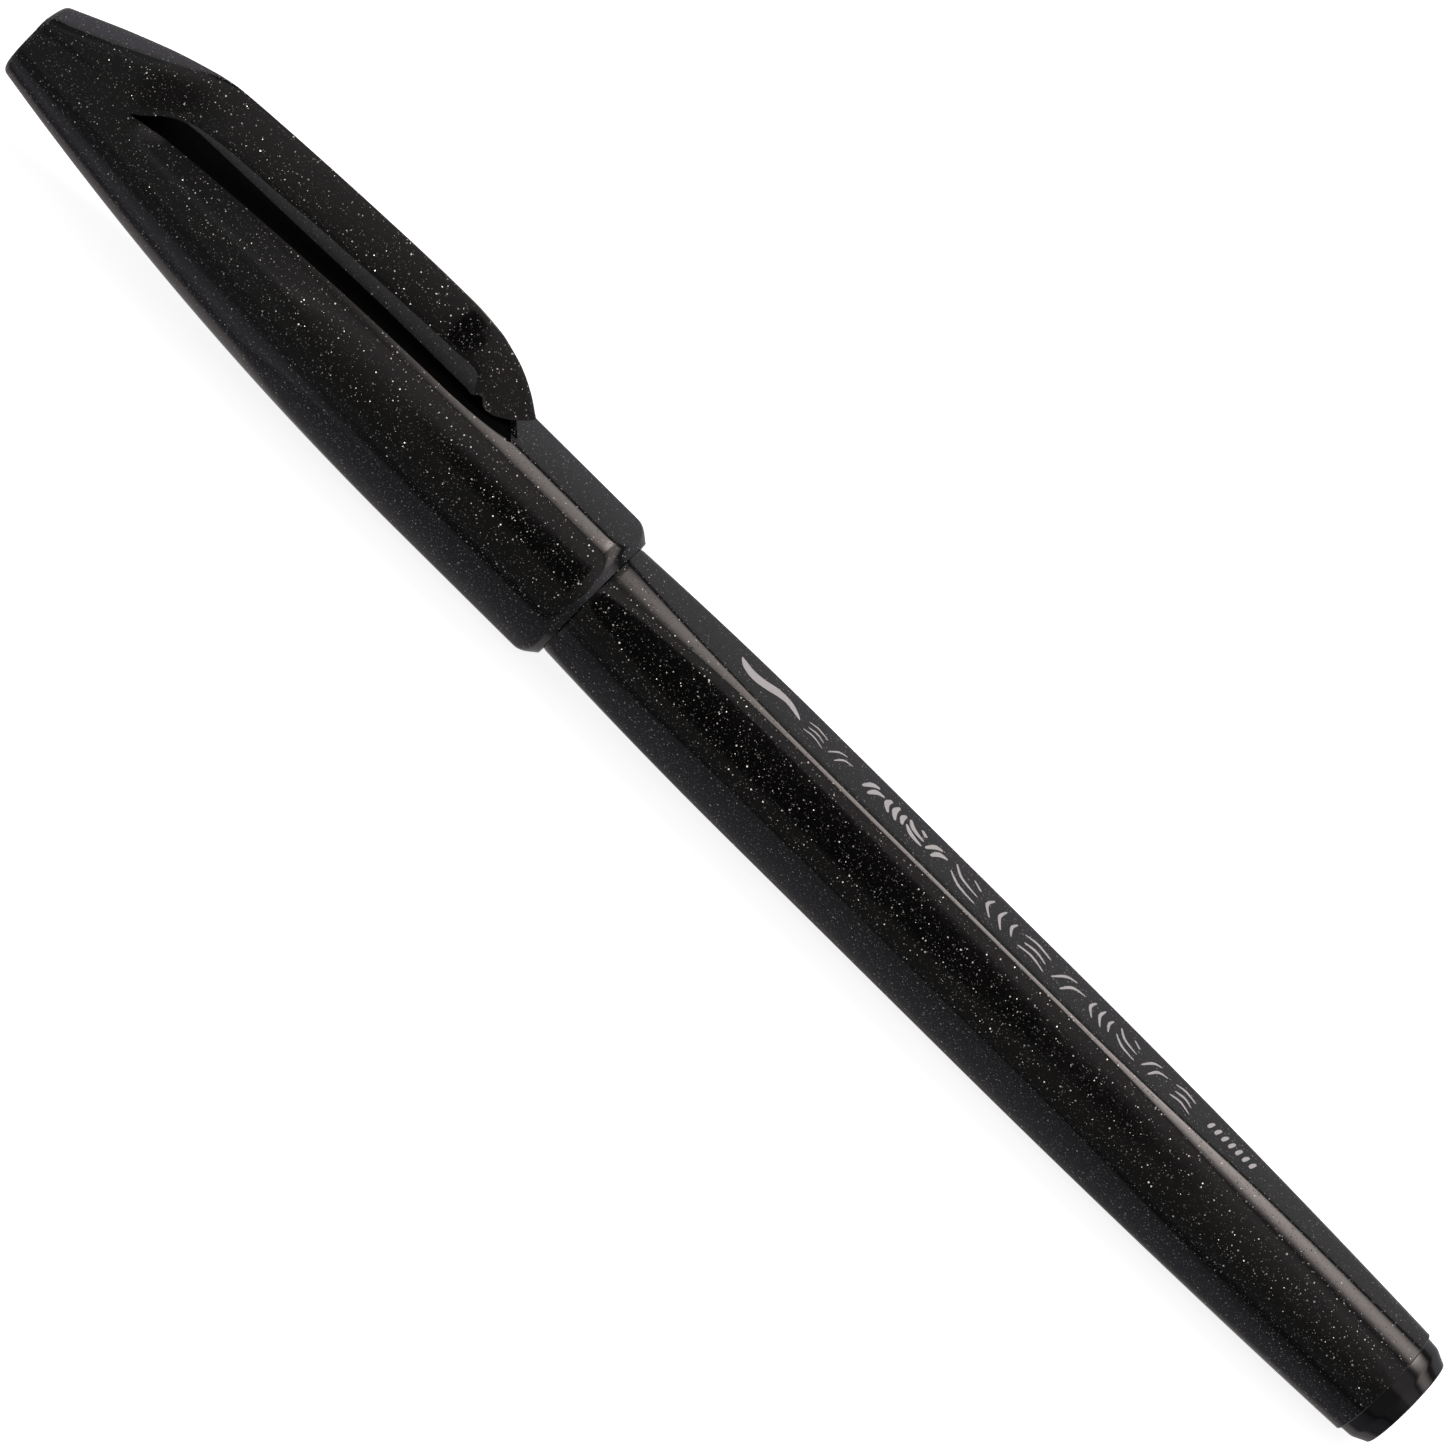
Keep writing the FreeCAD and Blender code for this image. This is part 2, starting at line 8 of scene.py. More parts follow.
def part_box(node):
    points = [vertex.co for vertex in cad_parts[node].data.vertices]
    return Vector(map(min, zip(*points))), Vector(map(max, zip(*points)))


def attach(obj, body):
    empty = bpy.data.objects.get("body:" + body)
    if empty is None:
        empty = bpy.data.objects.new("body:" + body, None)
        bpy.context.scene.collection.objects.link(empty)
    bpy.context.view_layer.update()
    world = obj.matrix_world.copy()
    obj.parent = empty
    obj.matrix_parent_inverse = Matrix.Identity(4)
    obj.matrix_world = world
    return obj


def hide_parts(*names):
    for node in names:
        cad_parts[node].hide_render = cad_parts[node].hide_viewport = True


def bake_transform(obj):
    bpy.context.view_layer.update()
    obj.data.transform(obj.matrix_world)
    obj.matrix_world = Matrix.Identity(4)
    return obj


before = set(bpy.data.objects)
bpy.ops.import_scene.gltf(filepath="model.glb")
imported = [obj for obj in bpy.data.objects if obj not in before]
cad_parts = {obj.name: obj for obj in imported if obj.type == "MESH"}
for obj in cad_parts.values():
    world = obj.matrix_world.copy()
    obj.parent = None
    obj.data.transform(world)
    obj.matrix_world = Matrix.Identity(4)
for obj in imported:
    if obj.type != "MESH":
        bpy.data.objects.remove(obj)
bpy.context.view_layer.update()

# ---------------------------------------------------------------------------------------------------------
# Places. Lengths below are in millimetres about the marker's own axis: x runs from the crown end to the
# tail, w is the distance towards +Y and r the height above the axis.
# ---------------------------------------------------------------------------------------------------------
MM = 0.001
CROWN_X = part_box("cap_shell")[0].x
PLUG_LOW, PLUG_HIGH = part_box("tail_plug")
AXIS_Z = (PLUG_LOW.z + PLUG_HIGH.z) / 2


def along(metres):
    """The x, in millimetres from the crown end, of a place in the frame."""
    return (metres - CROWN_X) / MM


def place(x, w, r):
    """A point of the marker as a point of the frame, in metres."""
    return Vector((CROWN_X + x * MM, w * MM, AXIS_Z + r * MM))


# read from the frame
CAP_MOUTH = along(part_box("cap_shell")[1].x)
CLIP_ROOT = along(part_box("pocket_clip")[0].x)
CLIP_TIP = along(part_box("pocket_clip")[1].x)
SEAT_START = along(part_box("barrel")[0].x)
BARREL_END = along(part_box("barrel")[1].x)
TAIL_END = along(PLUG_HIGH.x)
CAP_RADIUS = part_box("cap_shell")[1].y / MM
CAP_FLAT = AXIS_Z / MM
# the cap's outline: a bowed taper from the rounded crown, then a bevelled mouth
CAP_TAPER_END = 43.0
CAP_TAPER_RUN = 30.5
CAP_TAPER_DROP = 1.82
CROWN_ROUND = 0.45
MOUTH_BEVEL = 1.1
MOUTH_RIM = 5.45
MOUTH_SOFTNESS = 0.45
# the recess under the clip, whose floor rises before the step up to the landing pad
RECESS_START = 9.1
RECESS_DEPTH = 0.88
RECESS_HALF_WIDTH = 3.4
FLOOR_RISE = 0.36
FLOOR_RISE_FROM = 38.6
STEP_AT_MIDDLE = 43.03
STEP_SWEEP = 0.625
STEP_REACH = 0.06
# the roof shape of the crown's ramp and of the clip
RIDGE_ROUND = 0.15
RIDGE_BLEND = 0.5
ROOF_ANGLE = 60.0
RAMP_BULGE = 0.11
SIDE_BULGE = 0.17
BULGE_LOSS = 0.88
BLEND_WIDENS = 0.87
BLEND_LOWERS = 1.5
CLIP_FOOT = 40.6
# the flats: how much they are crowned, and how soft their edges are
CAP_CROWN = 0.0127
BARREL_CROWN = 0.0089
SOFT_DEGREES = 2.4
SOFT_EDGE = 0.08
# edges sharper than this many degrees are not shaded smooth
SHARP_DEGREES = 30.0


def smooth(t):
    """0 below 0, 1 above 1, and an S between."""
    t = min(max(t, 0.0), 1.0)
    return t * t * (3 - 2 * t)


def soft_min(a, b, width):
    """The lesser of two values, rounded where they cross."""
    near = max(width - abs(a - b), 0) / width
    return min(a, b) - near * near * width / 4


def curve_through(points, x):
    """A smooth curve through a few given points, level with its neighbours' slope at each."""
    if x <= points[0][0]:
        return points[0][1]
    if x >= points[-1][0]:
        return points[-1][1]
    i = next(k for k in range(len(points) - 1) if x <= points[k + 1][0])
    (x0, y0), (x1, y1) = points[i], points[i + 1]
    run = x1 - x0
    here = (y1 - y0) / run

    def slope(k):
        if k in (0, len(points) - 1):
            return here
        before = (points[k][1] - points[k - 1][1]) / (points[k][0] - points[k - 1][0])
        after = (points[k + 1][1] - points[k][1]) / (points[k + 1][0] - points[k][0])
        return 0.0 if before * after <= 0 else 2 * before * after / (before + after)

    t = (x - x0) / run
    m0, m1 = slope(i) * run, slope(i + 1) * run
    return ((2 * t**3 - 3 * t**2 + 1) * y0 + (t**3 - 2 * t**2 + t) * m0
            + (-2 * t**3 + 3 * t**2) * y1 + (t**3 - t**2) * m1)


def spread(a, b, count):
    """count values from a up to, but not including, b."""
    return [a + (b - a) * i / count for i in range(count)]


# ---------------------------------------------------------------------------------------------------------
# Mesh building
# ---------------------------------------------------------------------------------------------------------
class Shape:
    """Vertices and faces gathered for one piece. Points that fall together are merged when it is finished."""

    def __init__(self):
        self.points, self.faces, self.places = [], [], {}

    def point(self, p):
        key = tuple(round(c * 1e7) for c in p)
        if key not in self.places:
            self.places[key] = len(self.points)
            self.points.append(p)
        return self.places[key]

    def face(self, corners):
        ids = [self.point(p) for p in corners]
        kept = [a for n, a in enumerate(ids) if a != ids[n - 1]]
        if len(set(kept)) > 2:
            self.faces.append(kept)

    def strip(self, rows, closed=False):
        """Quads between rows of equally many points."""
        for row, following in zip(rows, rows[1:]):
            count = len(row)
            for i in range(count if closed else count - 1):
                j = (i + 1) % count
                self.face([row[i], row[j], following[j], following[i]])

    def lid(self, ring, centre):
        """A flat end: a narrow band along the ring keeps its shading flat, then a fan to the centre."""
        inner = [p.lerp(centre, 0.03) for p in ring]
        self.strip([inner, ring], closed=True)
        for i, p in enumerate(inner):
            self.face([inner[(i + 1) % len(inner)], p, centre])

    def make(self, name):
        """The finished piece, in the scene."""
        mesh = bpy.data.meshes.new(name)
        mesh.from_pydata([tuple(p) for p in self.points], [], self.faces)
        mesh.validate()
        faces = bmesh.new()
        faces.from_mesh(mesh)
        bmesh.ops.recalc_face_normals(faces, faces=faces.faces[:])
        faces.to_mesh(mesh)
        faces.free()
        mesh.shade_smooth()
        mesh.set_sharp_from_angle(angle=math.radians(SHARP_DEGREES))
        piece = bpy.data.objects.new(name, mesh)
        bpy.context.scene.collection.objects.link(piece)
        return piece


def circle_row(x, radius, count):
    """A round ring about the axis."""
    turns = [2 * math.pi * i / count for i in range(count)]
    return [place(x, radius * math.sin(a), radius * math.cos(a)) for a in turns]


def rounded(profile, default=0.1, steps=4):
    """A turned profile with its corners rounded. A corner is (x, radius) or (x, radius, rounding)."""
    points = []
    for i, corner in enumerate(profile):
        x, r = corner[:2]
        size = corner[2] if len(corner) > 2 else default
        if i in (0, len(profile) - 1) or size == 0:
            points.append((x, r))
            continue
        here = Vector((x, r))
        before = Vector(profile[i - 1][:2]) - here
        after = Vector(profile[i + 1][:2]) - here
        size = min(size, before.length * 0.45, after.length * 0.45)
        start, end = here + before.normalized() * size, here + after.normalized() * size
        for k in range(steps + 1):
            t = k / steps
            bent = start.lerp(here, t).lerp(here.lerp(end, t), t)
            points.append((bent.x, bent.y))
    return points


def turned(name, profile, count=128):
    """A piece turned about the axis. A profile that starts and ends on the axis is closed there."""
    shape = Shape()
    shape.strip([circle_row(x, r, count) for x, r in rounded(profile)], closed=True)
    return shape.make(name)


# ---------------------------------------------------------------------------------------------------------
# Sections of the cap, the clip and the barrel
# ---------------------------------------------------------------------------------------------------------
def flat_half_angle(radius, flat):
    """Half the angle that a flat takes up, in degrees, never quite nothing."""
    share = min(flat / radius, 1.0)
    return max(math.degrees(math.acos(share)), 2 * SOFT_DEGREES)


def fold(angle):
    """The angle from the middle of the nearest of the six flats."""
    return (angle + 30.0) % 60.0 - 30.0


def faceted(angle, radius, flat, crown, soft=SOFT_EDGE):
    """How far out a round section with six faintly crowned flats reaches at an angle from +Z."""
    turn = math.radians(fold(angle))
    half = math.sqrt(max(radius**2 - flat**2, 0.0))
    across = flat * math.tan(turn)
    bulge = max(crown * (half**2 - across**2), 0.0)
    return soft_min(radius, (flat + bulge) / math.cos(turn), soft)


def edge_angles(start, edges, steps, soft, last_steps):
    """Angles from start to 180, evenly spread between the flats' edges and close together at them."""
    angles, at = [], start
    for edge, count in zip(edges, steps):
        angles += spread(at, edge - soft, count)
        angles += spread(edge - soft, edge + soft, 4)
        at = edge + soft
    return angles + spread(at, 180.0, last_steps) + [180.0]


def polar(angle, reach):
    """(w, r) of a section's point from its angle and its distance from the axis."""
    return reach * math.sin(math.radians(angle)), reach * math.cos(math.radians(angle))


RAMP_HALF_WIDTHS = [(0, 1.50), (3.75, 1.58), (7.5, 1.30), (10.5, 0.62), (12.5, 0.13)]
RAMP_FOOT, RAMP_TOP = 3.25, 9.18
CEILING = [(9.1, 3.19), (9.96, 3.80), (10.9, 4.60), (11.8, 5.15), (12.5, 5.41)]


def cap_radius(x):
    """The cap's outer radius at the corners between its flats."""
    if x < CAP_TAPER_END:
        radius = CAP_RADIUS - CAP_TAPER_DROP * ((CAP_TAPER_END - x) / CAP_TAPER_RUN) ** 2
        if x < CROWN_ROUND:
            radius -= CROWN_ROUND - math.sqrt(CROWN_ROUND**2 - (CROWN_ROUND - x) ** 2)
        return radius
    bevel = MOUTH_RIM + (CAP_MOUTH - x) * (CAP_RADIUS - MOUTH_RIM) / MOUTH_BEVEL
    return soft_min(CAP_RADIUS, bevel, MOUTH_SOFTNESS)


def ridge_height(x):
    """The height of the crown's ramp, then of the clip's ridge, before their corner is softened."""
    return min(RAMP_FOOT + (RAMP_TOP - RAMP_FOOT) * x / CLIP_ROOT, curve_through(RIDGE, x))


def ridge_drop(x):
    """How far the soft corner between the ramp and the ridge lies below them."""
    ramp = RAMP_FOOT + (RAMP_TOP - RAMP_FOOT) * x / CLIP_ROOT
    return ridge_height(x) - soft_min(ramp, curve_through(RIDGE, x), RIDGE_BLEND)


def bulge_at(x):
    """How much the crown's and the clip's sides swell in their middle."""
    return SIDE_BULGE * (1 - BULGE_LOSS * smooth((x - 7.0) / 7))


def crest_height(x):
    """How far the ridge's rounded crest stands above the edges beside it."""
    return RIDGE_ROUND / 2 * smooth((x - 9.5) / 3)


def ramp_edge(x):
    """(w, r) of the edge between the ramp and the crown's side."""
    inset = 0.0
    if x < CROWN_ROUND:
        inset = CROWN_ROUND - math.sqrt(CROWN_ROUND**2 - (CROWN_ROUND - x) ** 2)
    drop = ridge_drop(x)
    return (curve_through(RAMP_HALF_WIDTHS, x) - 0.6 * inset + BLEND_WIDENS * drop,
            ridge_height(x) - inset - crest_height(x) - BLEND_LOWERS * drop)


def side_angle(x):
    """The direction, in degrees from +Z, that the crown's flat side faces."""
    w, r = ramp_edge(x)
    return math.degrees(math.atan2(w, r) + math.acos(cap_radius(x) / math.hypot(w, r)))


def cap_reach(x, angle):
    """How far out the cap's body reaches: round, then faceted, with straight sides at the crown."""
    radius = cap_radius(x)
    reach = faceted(angle, radius, CAP_FLAT, CAP_CROWN)
    if x < CLIP_ROOT:
        lean = max(side_angle(x) - angle, 0.0)
        keep = 1 - smooth((x - RECESS_START) / (CLIP_ROOT - RECESS_START))
        reach += (radius / math.cos(math.radians(lean)) - reach) * keep
    return reach


def floor_height(x):
    """The height of the recess's floor above the axis. It rises a little before the landing pad."""
    share = (min(x, STEP_AT_MIDDLE) - FLOOR_RISE_FROM) / (STEP_AT_MIDDLE - FLOOR_RISE_FROM)
    rise = FLOOR_RISE * max(share, 0) ** 1.6
    return cap_radius(min(x, CAP_TAPER_END)) - RECESS_DEPTH + rise


def shoulder_angle(x):
    """The angle at which the recess's floor meets the outside of the cap."""
    x = min(max(x, RECESS_START), STEP_AT_MIDDLE)
    low, high = 0.0, 89.0
    for _ in range(40):
        middle = (low + high) / 2
        if cap_reach(x, middle) * math.cos(math.radians(middle)) > floor_height(x):
            low = middle
        else:
            high = middle
    return low


def step_shift(x, w, angle):
    """How far a point is moved along the cap, so that the landing pad starts in a shallow V."""
    near = smooth((x - 38.0) / 4.5) * (1 - smooth((x - 45.0) / 6))
    return STEP_SWEEP * min(abs(w), 3.2) * near * (1 - smooth((angle - 32.0) / 25))


def cap_point(x, w, r, side):
    """A point of the cap's outside, on the +Y (1) or -Y (-1) side."""
    angle = math.degrees(math.atan2(w, r))
    return place(x + step_shift(x, w, angle), side * w, r)


def mirrored_row(x, half):
    """A row from the -Y side to the +Y side out of the (w, r) points of its +Y half, middle point last."""
    left = [cap_point(x, w, r, -1) for w, r in half]
    right = [cap_point(x, w, r, 1) for w, r in half]
    return left + right[-2::-1]


def body_row(x):
    """The cap's body at x, from its +Y shoulder round the bottom to its -Y shoulder."""
    radius = cap_radius(x)
    phi = flat_half_angle(radius, CAP_FLAT)
    edges = [60 - phi, 60 + phi, 120 - phi, 120 + phi, 180 - phi]
    angles = edge_angles(shoulder_angle(x), edges, [6, 8, 12, 8, 12], SOFT_DEGREES, 4)
    half = [polar(a, cap_reach(x, a)) for a in angles]
    right = [cap_point(x, w, r, 1) for w, r in half]
    left = [cap_point(x, w, r, -1) for w, r in half]
    return right + left[-2::-1]


TOP_STEPS = (3, 10, 5)


def upper_half(bottom, eave, edge, top, bulge=0.0):
    """Points of an upper outline's half: wall, side, then the ridge's arc or the crowned ramp."""
    wall, side, crest = TOP_STEPS
    points = []
    out = Vector((edge[1] - eave[1], eave[0] - edge[0])).normalized() * bulge
    for (a, b), count, swell in (((bottom, eave), wall, 0.0), ((eave, edge), side, 4.0)):
        for k in range(count):
            t = k / count
            lift = swell * t * (1 - t)
            points.append((a[0] + (b[0] - a[0]) * t + out.x * lift, a[1] + (b[1] - a[1]) * t + out.y * lift))
    for k in range(crest + 1):
        turn = math.radians(ROOF_ANGLE) * (1 - k / crest)
        w = edge[0] * math.sin(turn) / math.sin(math.radians(ROOF_ANGLE))
        points.append((w, edge[1] + (top - edge[1]) * (math.cos(turn) - 0.5) / 0.5))
    return points


def ceiling(x):
    """The height of the recess's ceiling under the crown's tongue."""
    return max(curve_through(CEILING, x), floor_height(x))


def crown_top_row(x, bottom_r=None):
    """The upper outline of the crown at x, down to the shoulder or to the recess's ceiling."""
    w2, r2 = ramp_edge(x)
    facing = math.radians(side_angle(x))
    if bottom_r is None:
        angle = shoulder_angle(x)
        w0, r0 = polar(angle, cap_reach(x, angle))
    else:
        r0 = bottom_r
        w0 = (cap_radius(x) - r0 * math.cos(facing)) / math.sin(facing)
    bottom, edge = (w0, r0), (w2, r2)
    eave = (w0 + (w2 - w0) * 0.15, r0 + (r2 - r0) * 0.15)
    crest = crest_height(x) + RAMP_BULGE * (1 - smooth((x - 7.0) / 5.5)) + ridge_drop(x) / 2
    return mirrored_row(x, upper_half(bottom, eave, edge, r2 + crest, bulge_at(x)))


def level_row(x, w, r):
    """A level chord across the marker with as many points as an upper outline."""
    count = sum(TOP_STEPS)
    return mirrored_row(x, [(w * (1 - k / count), r) for k in range(count + 1)])


def floor_row(x):
    """The recess's floor at x."""
    angle = shoulder_angle(x)
    w, r = polar(angle, cap_reach(x, angle))
    return level_row(x, w, r)


def pad_row(x):
    """The landing pad and the stretch of cap behind it, between the same shoulders as the floor."""
    radius = cap_radius(x)
    phi = flat_half_angle(radius, CAP_FLAT)
    shoulder = shoulder_angle(x)
    angles = spread(shoulder, phi + SOFT_DEGREES, 5)
    angles += spread(phi + SOFT_DEGREES, phi - SOFT_DEGREES, 4) + spread(phi - SOFT_DEGREES, 0.0, 9) + [0.0]
    return mirrored_row(x, [polar(a, cap_reach(x, a)) for a in angles])


def stations(*stretches):
    """x values over several stretches of (start, end, count)."""
    values = []
    for start, end, count in stretches:
        values += spread(start, end, count)
    return values + [stretches[-1][1]]


def crown_edge_stations(steps=5):
    """x values that follow the rounding of the crown's end."""
    return [CROWN_ROUND * (1 - math.cos(math.pi / 2 * k / steps)) for k in range(steps)]


def build_cap():
    """The cap's shell: outside, recess, landing pad, bevelled mouth and stepped bore."""
    shape = Shape()
    crown = crown_edge_stations() + stations((CROWN_ROUND, RECESS_START, 26))
    tongue = stations((RECESS_START, CLIP_ROOT, 14))
    taper = stations((CLIP_ROOT, 26.5, 36), (26.5, 28.5, 10), (28.5, STEP_AT_MIDDLE - 0.03, 40))
    skirt = stations((STEP_AT_MIDDLE + 0.05, 54.9, 26), (54.9, 55.6, 8), (55.6, CAP_MOUTH, 12))
    shape.strip([body_row(x) for x in crown + tongue[1:] + taper[1:] + skirt])
    shape.strip([crown_top_row(x)[::-1] for x in crown])
    shape.strip([crown_top_row(x, ceiling(x))[::-1] for x in tongue])
    ceiling_rows = []
    for x in tongue:
        end = crown_top_row(x, ceiling(x))[-1]
        ceiling_rows.append(level_row(x, end.y / MM, (end.z - AXIS_Z) / MM))
    shape.strip(ceiling_rows)
    top = crown_top_row(CLIP_ROOT, ceiling(CLIP_ROOT))
    shape.strip([top[::-1], ceiling_rows[-1][::-1]])
    shape.strip([floor_row(x)[::-1] for x in tongue + taper[1:]] + [pad_row(x)[::-1] for x in skirt])
    end_ring = body_row(0.0)[:-1] + crown_top_row(0.0)[:-1]
    shape.lid(end_ring, place(0.0, 0.0, 0.2))
    mouth_ring = body_row(CAP_MOUTH)[:-1] + pad_row(CAP_MOUTH)[:-1]
    bore = rounded([(CAP_MOUTH, MOUTH_RIM), (CAP_MOUTH, 5.12, 0.1), (38.5, 4.55), (37.5, 4.2), (33.6, 4.2),
                    (33.5, 3.48), (11.0, 2.53), (11.0, 0.0)])
    rows = [mouth_ring]
    for x, radius in bore[1:]:
        rows.append([turn_to(p, x, radius) for p in mouth_ring])
    shape.strip(rows, closed=True)
    return shape.make("cap_shell_moulding")


def turn_to(p, x, radius):
    """The point at x and radius that lies at the same angle as p."""
    w, r = p.y / MM, (p.z - AXIS_Z) / MM
    size = math.hypot(w, r)
    return place(x, w * radius / size, r * radius / size)


# the clip's outline, as (x, height) or (x, half width) points
RIDGE = [(12.5, 9.18), (16, 9.48), (20.2, 9.75), (26.6, 10.08), (33, 10.30), (36, 10.33), (38.7, 10.11),
         (40.1, 9.75), (41.5, 9.26), (43, 8.44), (44.4, 7.37), (44.7, 7.06)]
UNDERSIDE = [(12.5, 5.41), (20.4, 5.55), (33, 5.87), (40.1, 5.88), (40.3, 5.92), (40.85, 6.33), (41.0, 6.31),
             (41.6, 5.85), (42.1, 5.83), (43.4, 6.2), (44.7, 7.0)]
EAVE_HALF_WIDTH = [(12.5, 2.09), (13.6, 2.0), (20, 1.98), (24, 1.92), (33, 1.85), (37, 1.77), (39.5, 1.60),
                   (40.6, 2.1), (44.7, 2.1)]
CREASE = [(12.5, 5.41), (15, 5.85), (21, 6.25), (29, 6.38), (37, 6.46), (39.6, 6.46), (40.6, 6.35),
          (44.7, 7.0)]
FOOT_HALF_WIDTH = [(12.5, 2.09), (14, 1.85), (20, 1.74), (39.6, 1.72), (40.6, 2.0), (44.7, 2.0)]


def clip_rows(x):
    """The clip's section at x as an upper outline and the underside below it."""
    lean = side_angle(CLIP_ROOT)
    turn = math.radians(lean + (ROOF_ANGLE - lean) * smooth((x - CLIP_ROOT) / 4))
    apex = ridge_height(x) + RIDGE_ROUND
    fall = math.tan(turn)
    foot = curve_through(UNDERSIDE, x)
    widest = (apex - foot) / fall
    eave_w = min(curve_through(EAVE_HALF_WIDTH, x), widest * 0.985)
    eave_r = apex - eave_w * fall
    foot_w = min(curve_through(FOOT_HALF_WIDTH, x), widest)
    crease_r = min(max(curve_through(CREASE, x), foot + 0.02), eave_r - 0.02)
    crest_w = min(RIDGE_ROUND * math.sin(turn), widest * 0.3)
    top = apex - RIDGE_ROUND * (crest_w / (RIDGE_ROUND * math.sin(turn))) - ridge_drop(x)
    crest_w += BLEND_WIDENS * ridge_drop(x)
    edge = (crest_w, apex - crest_w * fall)
    half = upper_half((foot_w, foot), (eave_w, eave_r), edge, top, bulge_at(x) * smooth((44.0 - x) / 6))
    if eave_r - foot > 0.05:
        half[1] = (max(eave_w, foot_w), crease_r)
        half[2] = (max(eave_w, foot_w), (crease_r + eave_r) / 2)
    count = len(half) - 1
    under = [(foot_w * (1 - k / count), foot) for k in range(count + 1)]
    return plain_row(x, half), plain_row(x, under)


def plain_row(x, half):
    """Like mirrored_row, with no shift along the marker."""
    left = [place(x, -w, r) for w, r in half]
    right = [place(x, w, r) for w, r in half]
    return left + right[-2::-1]


def build_clip():
    """The clip: a roof-shaped bar with a notch before its foot and a pointed nose."""
    shape = Shape()
    xs = stations((CLIP_ROOT, 36.0, 60), (36.0, 39.5, 14), (39.5, 42.2, 27), (42.2, 44.3, 21),
                  (44.3, CLIP_TIP - 0.02, 8))
    tops, unders = zip(*(clip_rows(x) for x in xs))
    shape.strip([row[::-1] for row in tops])
    shape.strip(list(unders))
    shape.strip([unders[0], tops[0]])
    shape.strip([tops[-1], unders[-1]])
    return shape.make("pocket_clip_moulding")


BARREL_WIDE_FROM, BARREL_WIDE_TO = 75.0, 98.0
BARREL_RADIUS = 5.4
BARREL_FLATS = [(SEAT_START, 4.90), (56.4, 4.86), (63.5, 4.84), (77, 4.79), (104, 4.78), (112, 4.82),
                (119, 4.86), (126, 4.79), (132, 4.67), (BARREL_END, 4.60)]
BOW_TO_FRONT, BOW_TO_TAIL = 1.23e-3, 5.03e-4
SEAT_RADIUS_START, SEAT_RADIUS_END = 4.35, 4.93
SEAT_STEP_SLOPE = 0.5
TAIL_CHAMFER = 0.07
BARREL_BORE = 3.6


def barrel_flat(x):
    """Axis to each of the barrel's flats, at their edges."""
    return curve_through(BARREL_FLATS, x)


def barrel_top(x, w=0.0):
    """Axis to the surface of the barrel's top flat, which is crowned a little."""
    flat = barrel_flat(x)
    return flat + BARREL_CROWN * max(barrel_radius(x) ** 2 - flat**2 - w**2, 0.0)


def barrel_radius(x):
    """The barrel's radius at its corners: a round seat, then a bow that is widest in the middle."""
    widening = SEAT_RADIUS_END - SEAT_RADIUS_START
    seat = SEAT_RADIUS_START + widening * (x - SEAT_START) / (CAP_MOUTH - SEAT_START)
    if x <= CAP_MOUTH:
        return seat
    bow = BARREL_RADIUS
    if x < BARREL_WIDE_FROM:
        bow -= BOW_TO_FRONT * (x - BARREL_WIDE_FROM) ** 2
    elif x > BARREL_WIDE_TO:
        bow -= BOW_TO_TAIL * (x - BARREL_WIDE_TO) ** 2
    return min(seat + (x - CAP_MOUTH) * SEAT_STEP_SLOPE, bow)


def barrel_row(x, inset=0.0):
    """The barrel's outside at x."""
    radius, flat = barrel_radius(x) - inset, barrel_flat(x) - inset
    phi = flat_half_angle(radius, flat)
    soft = min(SOFT_DEGREES, 0.45 * (30 - phi))
    edges = [phi, 60 - phi, 60 + phi, 120 - phi, 120 + phi, 180 - phi]
    angles = edge_angles(0.0, edges, [4, 12, 8, 12, 8, 12], soft, 4)
    soft_edge = min(SOFT_EDGE, 0.06 * (30 - phi))
    half = [polar(a, faceted(a, radius, flat, BARREL_CROWN, soft_edge)) for a in angles]
    right = [place(x, w, r) for w, r in half]
    left = [place(x, -w, r) for w, r in half]
    return right[:-1] + left[:0:-1]


def build_barrel():
    """The barrel: outside, a small chamfer at the tail edge, and the stepped bore."""
    shape = Shape()
    xs = stations((SEAT_START, CAP_MOUTH, 18), (CAP_MOUTH, 58.0, 6), (58.0, BARREL_WIDE_FROM, 34),
                  (BARREL_WIDE_FROM, BARREL_WIDE_TO, 30), (BARREL_WIDE_TO, BARREL_END - TAIL_CHAMFER, 56))
    rows = [barrel_row(x) for x in xs] + [barrel_row(BARREL_END, TAIL_CHAMFER)]
    bore = [(BARREL_END, BARREL_BORE), (49.0, BARREL_BORE), (49.0, 3.48), (SEAT_START, 3.48)]
    rows += [[turn_to(p, x, radius) for p in rows[0]] for x, radius in bore]
    rows.append(rows[0])
    shape.strip([row[::-1] for row in rows], closed=True)
    return shape.make("barrel_moulding")


def build_tail_plug():
    """The polished plug: spigot, collar, bevel and rounded end."""
    collar = (PLUG_HIGH.y - PLUG_LOW.y) / 2 / MM
    return turned("tail_plug_moulding", [
        (126.0, 0.0), (126.0, 3.57), (BARREL_END, 3.57, 0), (BARREL_END, collar, 0.05),
        (136.85, collar - 0.07, 0.18), (137.75, 3.97, 0.25), (TAIL_END, 3.86, 0.2), (TAIL_END, 3.0, 0),
        (TAIL_END, 0.0)])


def build_front_section():
    """The grip: cone, sealing band, grip with its snap bead, flange and spigot."""
    return turned("grip_section", [
        (18.8, 1.03, 0), (18.8, 1.65, 0.15), (27.0, 2.6, 0.2), (27.5, 2.85, 0.2), (33.8, 2.85, 0.2),
        (34.2, 3.6, 0.25), (35.1, 3.6, 0.1), (35.5, 3.75, 0.2), (35.9, 3.6, 0.1), (37.8, 3.6, 0.1),
        (37.8, 4.1, 0.1), (SEAT_START, 4.1, 0.05), (SEAT_START, 3.46, 0), (49.0, 3.46, 0), (49.0, 1.03, 0),
        (18.8, 1.03, 0)])


